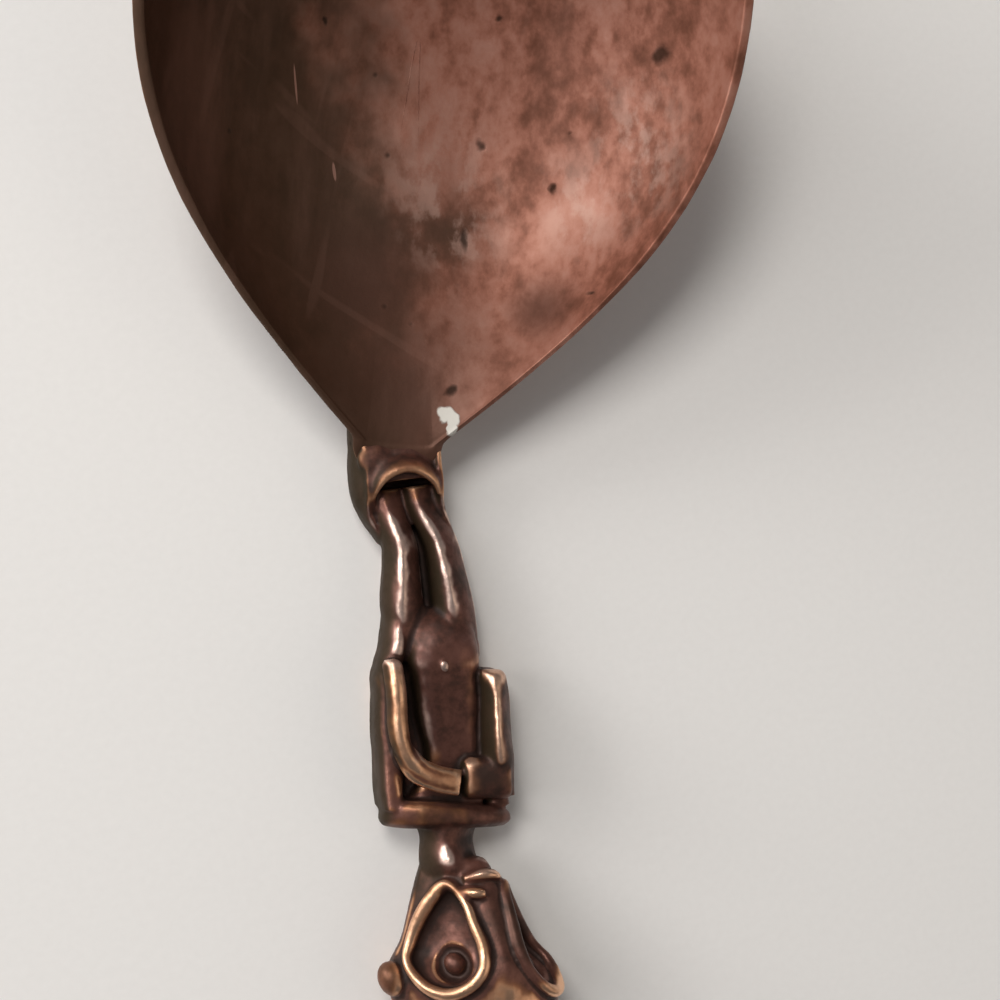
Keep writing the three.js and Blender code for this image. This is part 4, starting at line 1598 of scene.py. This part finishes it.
class Effects:
    """The surface effects that the finishes share, each a node group built once."""

    def __init__(self) -> None:
        """Builds the groups."""
        self.mottle = self.make_mottle()
        self.streaks = self.make_streaks()
        self.rub_and_highlight = self.make_rubbing()
        self.pitting = self.make_pitting()
        self.scratches = self.make_scratches()

    @staticmethod
    def make_mottle() -> Tree:
        """Patches of three colours, such as a patina has."""
        broad_share, fine_scale = 0.62, 5.3
        effect = Effect("mottled_patina", {
            "Vector": None, "Patch Scale": 60.0, "Paleness": 0.5, "Dark": (0.03, 0.02, 0.015, 1),
            "Middle": (0.12, 0.07, 0.05, 1), "Pale": (0.3, 0.2, 0.15, 1),
        }, {"Color": "NodeSocketColor", "Mask": "NodeSocketFloat"})
        graph, given = effect.graph, effect.given
        broad = graph.noise(given["Vector"], given["Patch Scale"], 5)
        fine = graph.noise(given["Vector"], graph.times(given["Patch Scale"], fine_scale), 6)
        both = graph.plus(graph.times(broad, broad_share), graph.times(fine, 1 - broad_share))
        lower = graph.blend(graph.spread(both, 0.36, 0.56), given["Dark"], given["Middle"])
        pale = graph.times(graph.spread(both, 0.47, 0.66), given["Paleness"])
        return effect.give(Color=graph.blend(pale, lower, given["Pale"]), Mask=both)

    @staticmethod
    def make_streaks() -> Tree:
        """Long stains that run one way."""
        along_y = (1.0, 0.13, 0.13)
        effect = Effect(
            "drip_streaks", {"Vector": None, "Scale": 90.0, "Amount": 0.5},
            {"Mask": "NodeSocketFloat"},
        )
        graph, given = effect.graph, effect.given
        drawn = graph.stretched(given["Vector"], along_y)
        band = graph.spread(graph.noise(drawn, given["Scale"], 5), 0.47, 0.7)
        return effect.give(Mask=graph.times(band, given["Amount"]))

    @staticmethod
    def make_rubbing() -> Tree:
        """Bright metal where raised edges are rubbed by hands, which also carries painted ridge
        highlights.
        """
        patch_scale = 420.0
        effect = Effect("rubbed_edges", {
            "Vector": None, "Edge": 0.5, "Low": 0.52, "High": 0.6, "Patchiness": 0.5,
        }, {"Mask": "NodeSocketFloat"})
        graph, given = effect.graph, effect.given
        rubbed = graph.spread(given["Edge"], given["Low"], given["High"])
        patches = graph.spread(graph.noise(given["Vector"], patch_scale, 3), 0.35, 0.6)
        lost = graph.times(given["Patchiness"], graph.less(1.0, patches))
        return effect.give(Mask=graph.times(rubbed, graph.less(1.0, lost)))

    @staticmethod
    def make_pitting() -> Tree:
        """Scattered small pits, left by gas in the casting."""
        share_left_out = 0.78
        effect = Effect(
            "casting_pits", {"Vector": None, "Scale": 300.0, "Radius": 0.16},
            {"Mask": "NodeSocketFloat"},
        )
        graph, given = effect.graph, effect.given
        wires = {"Vector": given["Vector"], "Scale": given["Scale"]}
        cells = graph.node("ShaderNodeTexVoronoi", wires)
        lot = graph.node("ShaderNodeSeparateColor", {0: cells.outputs["Color"]}).outputs[0]
        chosen = graph.math("GREATER_THAN", lot, share_left_out)
        far = graph.spread(cells.outputs["Distance"], 0.0, given["Radius"])
        return effect.give(Mask=graph.times(graph.less(1.0, far), chosen))

    @staticmethod
    def make_scratches() -> Tree:
        """Hair-fine scratches in two directions."""
        hair, turns = (1.0, 0.05, 0.4), (0.35, -0.9)
        effect = Effect(
            "fine_scratches", {"Vector": None, "Scale": 260.0, "Amount": 0.5},
            {"Mask": "NodeSocketFloat"},
        )
        graph, given = effect.graph, effect.given
        first, second = (
            graph.spread(
                graph.noise(graph.stretched(given["Vector"], hair, turn), given["Scale"], 2),
                0.66, 0.72,
            )
            for turn in turns
        )
        return effect.give(Mask=graph.times(graph.most(first, second), given["Amount"]))


@dataclass(frozen=True)
class Mark:
    """A single stain, pit or scratch at a place on the surface, in millimetres."""

    place: Colour
    size: Colour


@dataclass(frozen=True)
class BronzeFinish:
    """A patinated copper alloy, rubbed bright on its high places, with painted shade, shadow and
    sheen where the light falls.

    The covers say how fully a layer hides what is under it, from 0 to 1.
    """

    name: str
    dark: Colour
    cloud: Colour
    middle: Colour
    pale: Colour
    rubbed: Colour
    warm: Colour
    # Painted shadow colour, for the patches where shade falls.
    painted_shadow: Colour
    patch_scale: float
    paleness: float
    rub_low: float
    rub_high: float
    roughness: float
    rubbed_roughness: float
    metallic: float
    hollow: float
    sheen: float
    # The rosy rub is wear, made pale enough to also paint the ridge highlights.
    rosy: Colour = (0.88, 0.66, 0.56)
    rosy_warm: Colour = (0.22, 0.11, 0.095)
    # Painted shade colour for the left-facing flanks.
    flank_shade_colour: Colour = (0.032, 0.021, 0.009)
    # Painted sheen colour, laid on the sheen patches.
    painted_sheen: Colour = (0.5, 0.33, 0.27)
    chalk: Colour = (0.62, 0.6, 0.55)
    shade: float = 0.75
    scratched: float = 0.2
    streaks: float = 0.0
    turn: float = 0.0
    drawn: float = 1.0
    # Painted shade: lit_side gives the range across the piece where its unlit side turns dark, and
    # shade how dark it turns.
    lit_side: tuple[float, float] = (0.0, 0.0)
    sheen_patches: tuple[Mark, ...] = ()
    painted_shadows: tuple[Mark, ...] = ()
    pits: tuple[Mark, ...] = ()
    scratches: tuple[Mark, ...] = ()
    flecks: tuple[Mark, ...] = ()
    flank_shade_cover: float = 0.9
    painted_shadow_cover: float = 0.75
    hollow_cover: float = 0.8
    warm_cover: float = 0.75
    pit_cover: float = 0.8
    scratch_cover: float = 0.5
    rub_margin: float = 0.06
    ragged: float = 0.0016
    bump_reach: float = 0.0002

    def marks(
        self, graph: Graph, vector: object, marks: Sequence[Mark], core: float = 0.7,
    ) -> object:
        """A mask that is 1 on the given marks.

        Args:
            graph: The material's graph.
            vector: The coordinates, already roughened so that the marks' edges are uneven.
            marks: The marks.
            core: The share of a mark's size within which it counts fully.

        Returns:
            The mask, or 0 where there are none.
        """
        mask: object = 0.0
        for mark in marks:
            middle = tuple(value * MM for value in mark.place)
            shrink = tuple(1 / (value * MM) for value in mark.size)
            moved = graph.vector_math("SUBTRACT", vector, middle)[0]
            scaled = graph.vector_math("MULTIPLY", moved, shrink)[0]
            far = graph.vector_math("LENGTH", scaled)["Value"]
            mask = graph.most(mask, graph.spread(far, 1.0, core))
        return mask

    def coat(self, graph: Graph, effects: Effects, here: Socket) -> tuple[Socket, Socket]:
        """The patina as it lies before any wear, with painted shade on its unlit side and patches
        of painted sheen where these are set.

        Args:
            graph: The material's graph.
            effects: The shared node groups.
            here: The piece's own coordinates.

        Returns:
            The patina's colour, and the pattern of its patches.
        """
        run = graph.stretched(here, (1.0, 1 / self.drawn, 1.0), self.turn)
        mottle = graph.group(effects.mottle, {
            "Vector": run, "Patch Scale": self.patch_scale, "Paleness": self.paleness,
            "Dark": opaque(self.cloud), "Middle": opaque(self.middle), "Pale": opaque(self.pale),
        })
        colour = mottle["Color"]
        # Painted shade: the side of the piece away from the light is darkened toward the dark
        # colour.
        if self.lit_side != (0.0, 0.0):
            edge_scale, edge_reach = 45.0, 0.06
            low, high = (value * MM for value in self.lit_side)
            across = graph.node("ShaderNodeSeparateXYZ", {0: here}).outputs["X"]
            wander = graph.times(graph.less(graph.noise(here, edge_scale), 0.5), edge_reach)
            side = graph.spread(graph.plus(across, wander), low, high)
            unlit = graph.times(graph.less(1.0, side), self.shade)
            colour = graph.blend(unlit, colour, opaque(self.dark))
        if self.streaks:
            straight = graph.stretched(here, (1.0, 1.0, 1.0), self.turn)
            wires = {"Vector": straight, "Amount": self.streaks}
            streak = graph.group(effects.streaks, wires)["Mask"]
            colour = graph.blend(streak, colour, opaque(self.pale))
        # Painted sheen: paler patches where the surface catches the light.
        if self.sheen_patches:
            crumb_scale, thin, thick = 260.0, 0.05, 0.6
            broken = graph.spread(graph.noise(run, crumb_scale, 8), 0.45, 0.6, thin, thick)
            painted_sheen_mask = graph.times(self.marks(graph, here, self.sheen_patches, core=0.0), broken)
            colour = graph.blend(painted_sheen_mask, colour, opaque(self.painted_sheen))
        return colour, mottle["Mask"]

    def make(self, effects: Effects) -> bpy.types.Material:
        """Builds the material: the patina, then painted shade on the flanks and in shadow patches,
        then dark patina in hollows, then wear, then single marks.

        Args:
            effects: The shared node groups.

        Returns:
            The material.
        """
        material = bpy.data.materials.new(self.name)
        material.use_nodes = True
        shader = material.node_tree.nodes["Principled BSDF"]
        graph = Graph(material.node_tree)
        here = graph.node("ShaderNodeTexCoord").outputs["Object"]
        proud, gilt, painted_flank_shade = (graph.attribute(name) for name in ("proud", "gilt", "painted_flank_shade"))
        colour, patches = self.coat(graph, effects, here)
        # Painted shade and reflection on the left-facing flanks.
        colour = graph.blend(graph.times(painted_flank_shade, self.flank_shade_cover), colour, opaque(self.flank_shade_colour))
        # Painted shadow: darker patches where shade falls.
        if self.painted_shadows:
            painted_shadow = graph.times(self.marks(graph, here, self.painted_shadows, core=0.0), self.painted_shadow_cover)
            colour = graph.blend(painted_shadow, colour, opaque(self.painted_shadow))
        deep = graph.spread(proud, self.hollow, self.hollow - 0.2)
        hollow = graph.times(deep, self.hollow_cover)
        colour = graph.blend(hollow, colour, opaque(self.dark, 0.5))

        warm = graph.group(effects.rub_and_highlight, {
            "Vector": here, "Edge": proud, "Low": self.rub_low - self.rub_margin,
            "High": self.rub_high,
        })["Mask"]
        glow = graph.blend(gilt, opaque(self.rosy_warm), opaque(self.warm))
        colour = graph.blend(graph.times(warm, self.warm_cover), colour, glow)
        rub_and_highlight = graph.group(effects.rub_and_highlight, {
            "Vector": here, "Edge": proud, "Low": self.rub_low,
            "High": self.rub_high + self.rub_margin,
        })["Mask"]
        # The rub is wear, and with the pale rosy colour it also paints the ridge highlights.
        bright = graph.blend(gilt, opaque(self.rosy), opaque(self.rubbed))
        colour = graph.blend(rub_and_highlight, colour, bright)

        wander = graph.node("ShaderNodeTexNoise", {"Vector": here, "Scale": 500.0, "Detail": 3.0})
        centred = graph.vector_math("SUBTRACT", wander.outputs["Color"], (0.5, 0.5, 0.5))[0]
        shaken = graph.vector_math("MULTIPLY_ADD", centred, (self.ragged,) * 3, here)[0]
        single = self.marks(graph, shaken, self.pits, core=0.3)
        scattered = graph.times(graph.group(effects.pitting, {"Vector": here})["Mask"], 0.8)
        pits = graph.most(single, scattered)
        colour = graph.blend(graph.times(pits, self.pit_cover), colour, opaque(self.dark, 0.35))
        wires = {"Vector": here, "Amount": self.scratched}
        hairlines = graph.group(effects.scratches, wires)["Mask"]
        scratches = graph.most(hairlines, self.marks(graph, here, self.scratches))
        colour = graph.blend(
            graph.times(scratches, self.scratch_cover), colour, opaque(self.pale),
        )
        flecks = self.marks(graph, shaken, self.flecks)
        colour = graph.blend(flecks, colour, opaque(self.chalk))

        rough = graph.spread(patches, 0.35, 0.65, self.roughness + 0.08, self.roughness - 0.06)
        rough = graph.plus(rough, graph.times(rub_and_highlight, self.rubbed_roughness - self.roughness))
        rough = graph.plus(rough, graph.times(graph.most(pits, flecks), 0.4))
        rough = graph.plus(rough, graph.times(graph.most(hollow, painted_flank_shade), 0.2))
        covered = graph.most(flecks, graph.times(graph.most(pits, hollow), 0.5))
        bare = graph.spread(rub_and_highlight, 0.0, 1.0, self.metallic, 1.0)
        height = graph.plus(
            graph.times(graph.noise(here, 1400.0), 0.3), graph.times(patches, 0.6),
        )
        for mask, rise in ((pits, -0.9), (scratches, -0.15), (flecks, 0.9)):
            height = graph.plus(height, graph.times(mask, rise))
        wires = {"Height": height, "Strength": 0.4, "Distance": self.bump_reach}
        bump = graph.node("ShaderNodeBump", wires)
        shader.inputs["Specular IOR Level"].default_value = self.sheen
        for label, socket in (
            ("Base Color", colour), ("Roughness", rough), ("Normal", bump.outputs[0]),
            ("Metallic", graph.times(graph.less(1.0, covered), bare)),
        ):
            material.node_tree.links.new(socket, shader.inputs[label])
        return material


BOWL_FINISH = BronzeFinish(
    name="bowl_patina",
    dark=(0.042, 0.023, 0.011),
    cloud=(0.15, 0.054, 0.031),
    middle=(0.34, 0.136, 0.09),
    pale=(0.48, 0.26, 0.2),
    rubbed=(0.3, 0.135, 0.06),
    warm=(0.12, 0.05, 0.02),
    rosy=(0.3, 0.135, 0.06),
    rosy_warm=(0.12, 0.05, 0.02),
    painted_shadow=(0.08, 0.033, 0.021),
    sheen=0.3,
    patch_scale=92.0,
    paleness=0.6,
    rub_low=0.74,
    rub_high=0.8,
    hollow=0.1,
    roughness=0.55,
    rubbed_roughness=0.4,
    metallic=0.42,
    scratched=0.1,
    streaks=0.12,
    turn=math.radians(11),
    drawn=1.5,
    # Painted shade on the bowl's left side, away from the light.
    lit_side=(-9.0, 14.0),
    shade=0.92,
    # Painted sheen on the lit inner wall and in the middle of the bowl.
    sheen_patches=(
        Mark((30.0, 9.0, 14.0), (10.0, 16.0, 12.0)),
        Mark((23.0, 4.0, 9.0), (8.0, 11.0, 8.0)),
        Mark((7.0, 6.0, 4.0), (11.0, 18.0, 6.0)),
    ),
    # Painted shadow near the throat.
    painted_shadows=(
        Mark((0.0, -16.0, 8.0), (19.0, 19.0, 12.0)),
        Mark((-5.0, -3.0, 6.0), (13.0, 16.0, 10.0)),
        Mark((16.0, -9.0, 9.0), (8.0, 7.0, 8.0)),
    ),
    pits=(
        Mark((12.5, 14.0, 4.5), (0.9, 1.0, 1.6)),
        Mark((20.6, 7.2, 6.9), (0.7, 0.9, 1.6)),
        Mark((8.5, 1.7, 4.2), (0.8, 2.0, 2.0)),
        Mark((2.9, -18.0, 8.3), (0.9, 1.0, 2.0)),
        Mark((33.2, 20.2, 18.0), (1.6, 1.7, 2.2)),
        Mark((15.7, 28.9, 9.5), (0.7, 0.8, 1.6)),
        Mark((21.3, -8.2, 13.2), (0.6, 0.6, 1.4)),
        Mark((-6.9, 29.6, 8.6), (0.6, 0.7, 1.4)),
    ),
    scratches=(
        Mark((-11.3, 22.3, 6.9), (0.16, 3.0, 1.8)),
        Mark((-7.3, 11.9, 3.9), (0.25, 1.4, 1.4)),
    ),
    flecks=(
        Mark((1.6, -21.0, 8.6), (1.4, 1.2, 1.6)),
        Mark((2.3, -21.8, 8.8), (0.9, 1.1, 1.6)),
        Mark((2.2, -22.9, 8.6), (0.6, 1.3, 1.6)),
    ),
)

FIGURE_FINISH = BronzeFinish(
    name="handled_brass",
    dark=(0.03, 0.016, 0.012),
    cloud=(0.045, 0.024, 0.018),
    middle=(0.115, 0.048, 0.035),
    pale=(0.23, 0.105, 0.08),
    rubbed=(0.86, 0.52, 0.33),
    warm=(0.48, 0.2, 0.075),
    painted_shadow=(0.035, 0.02, 0.013),
    sheen=0.35,
    patch_scale=130.0,
    paleness=0.5,
    rub_low=0.61,
    rub_high=0.71,
    hollow=0.45,
    roughness=0.4,
    rubbed_roughness=0.32,
    metallic=0.55,
    # Painted shadow over the right half of the face.
    painted_shadows=(Mark((1.5, -83.5, 12.0), (5.5, 8.0, 7.0)),),
)


@dataclass(frozen=True)
class Studio:
    """A pale floor, soft light from the upper left, and the camera at the photo's angle."""

    throat: Vector
    picture: float = 1000.0
    view_degrees: float = 37.0
    height: float = 190.0
    nadir: tuple[float, float] = (80.6, 604.6)
    throat_pixel: tuple[float, float] = (399.5, 440.9)
    turn_degrees: float = 7.69
    room_colour: Colour = (0.9, 0.93, 1.0)
    room_strength: float = 0.13

    def ray(self, pixel: tuple[float, float]) -> Vector:
        """The direction of a pixel of the picture, seen from the camera."""
        reach = self.picture / 2 / math.tan(math.radians(self.view_degrees / 2))
        half = self.picture / 2
        return Vector((pixel[0] - half, half - pixel[1], -reach))

    def set_camera(self) -> None:
        """Places the camera so that the plumb line and the throat fall on their pixels."""
        upright = self.ray(self.nadir).rotation_difference(Vector((0, 0, -1))).to_matrix()
        to_throat = upright @ self.ray(self.throat_pixel)
        to_throat *= (self.throat.z - self.height) / to_throat.z
        turn = Matrix.Rotation(-math.radians(self.turn_degrees), 3, "Z")
        camera = bpy.data.cameras.new("camera")
        camera.angle = math.radians(self.view_degrees)
        camera.clip_start = 0.01
        holder = bpy.data.objects.new("camera", camera)
        bpy.context.scene.collection.objects.link(holder)
        place = self.throat - turn @ to_throat
        holder.matrix_world = Matrix.Translation(place * MM) @ (turn @ upright).to_4x4()
        bpy.context.scene.camera = holder

    def set_light(
        self, name: str, place: Colour, size: tuple[float, float], power: float, warmth: Colour,
    ) -> None:
        """Adds one soft light that faces the spoon.

        Args:
            name: The light's name.
            place: Where it hangs, in metres.
            size: Its width and height, in metres.
            power: Its power, in watts.
            warmth: Its colour.
        """
        light = bpy.data.lights.new(name, "AREA")
        light.shape = "RECTANGLE"
        light.size, light.size_y = size
        light.energy = power
        light.color = warmth
        holder = bpy.data.objects.new(name, light)
        bpy.context.scene.collection.objects.link(holder)
        holder.location = place
        aim = Vector((0.0, -0.02, 0.0)) - holder.location
        holder.rotation_euler = aim.to_track_quat("-Z", "Y").to_euler()

    def set_floor(self) -> None:
        """Lays the pale floor."""
        put_down()
        bpy.ops.mesh.primitive_plane_add(size=4)
        floor = bpy.context.object
        floor.name = "floor"
        paper = bpy.data.materials.new("pale_paper")
        paper.use_nodes = True
        graph = Graph(paper.node_tree)
        here = graph.node("ShaderNodeTexCoord").outputs["Object"]
        grey, white = opaque((0.83, 0.825, 0.81)), opaque((0.88, 0.875, 0.86))
        colour = graph.blend(graph.noise(here, 900.0), grey, white)
        shader = paper.node_tree.nodes["Principled BSDF"]
        shader.inputs["Roughness"].default_value = 0.9
        paper.node_tree.links.new(colour, shader.inputs["Base Color"])
        floor.data.materials.append(paper)

    def build(self) -> None:
        """Sets up the floor, the light and the camera."""
        self.set_floor()
        lights = (
            ("lamp", (-0.3, 0.45, 0.85), (0.35, 0.35), 4.4, (1.0, 0.96, 0.91)),
            ("window", (-0.88, 0.51, 0.32), (0.5, 0.5), 7.5, (1.0, 0.97, 0.94)),
            ("skylight", (-0.6, 0.1, 0.55), (0.2, 0.5), 1.8, (1.0, 0.95, 0.93)),
            ("fill", (0.6, -0.3, 0.5), (0.7, 0.7), 1.0, (1.0, 0.84, 0.68)),
        )
        for light in lights:
            self.set_light(*light)
        world = bpy.data.worlds.new("soft_room")
        world.use_nodes = True
        backdrop = world.node_tree.nodes["Background"]
        backdrop.inputs["Color"].default_value = opaque(self.room_colour)
        backdrop.inputs["Strength"].default_value = self.room_strength
        bpy.context.scene.world = world
        bpy.context.scene.view_settings.view_transform = "Standard"
        self.set_camera()


@dataclass(frozen=True)
class Share:
    """One visual piece with what it stands for."""

    piece: Piece
    finish: bpy.types.Material
    slot: Slot
    nodes: tuple[str, ...]

    def hand_over(self) -> None:
        self.piece.data.materials.clear()
        self.piece.data.materials.append(self.finish)
        pick_up(self.piece)
        bpy.ops.object.shade_smooth()
        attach(self.piece, BODY)
        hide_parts(*self.nodes)
        LOG.info("%s stands for %s", self.piece.name, ", ".join(self.nodes))


def main() -> None:
    """Builds each casting in turn, dresses it, and sets up the studio."""
    logging.basicConfig(level=logging.INFO, format="%(name)s: %(message)s")
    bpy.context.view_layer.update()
    put_down()
    bowl = Bowl()
    stance = Stance(bowl.throat())
    effects = Effects()
    bowl_patina = BOWL_FINISH.make(effects)
    handled_brass = FIGURE_FINISH.make(effects)
    legs, trunk, head = Figure(stance).castings()
    shares = (
        Share(bowl.build(), bowl_patina, Slot.CAST, ("bowl",)),
        Share(legs, handled_brass, Slot.CAST, ("foot_cuff", "left_leg", "right_leg")),
        Share(
            trunk, handled_brass, Slot.WORN,
            ("trunk", "left_arm", "right_arm", "shoulder_yoke", "neck"),
        ),
        Share(
            head, handled_brass, Slot.CAST,
            (
                "head", "left_eye_ring", "right_eye_ring", "left_eye_bead", "right_eye_bead",
                "left_ear", "right_ear", "lower_lip", "upper_lip",
            ),
        ),
    )
    for share in shares:
        share.hand_over()
    Studio(bowl.throat()).build()
    put_down()


if __name__ == "__main__":
    main()
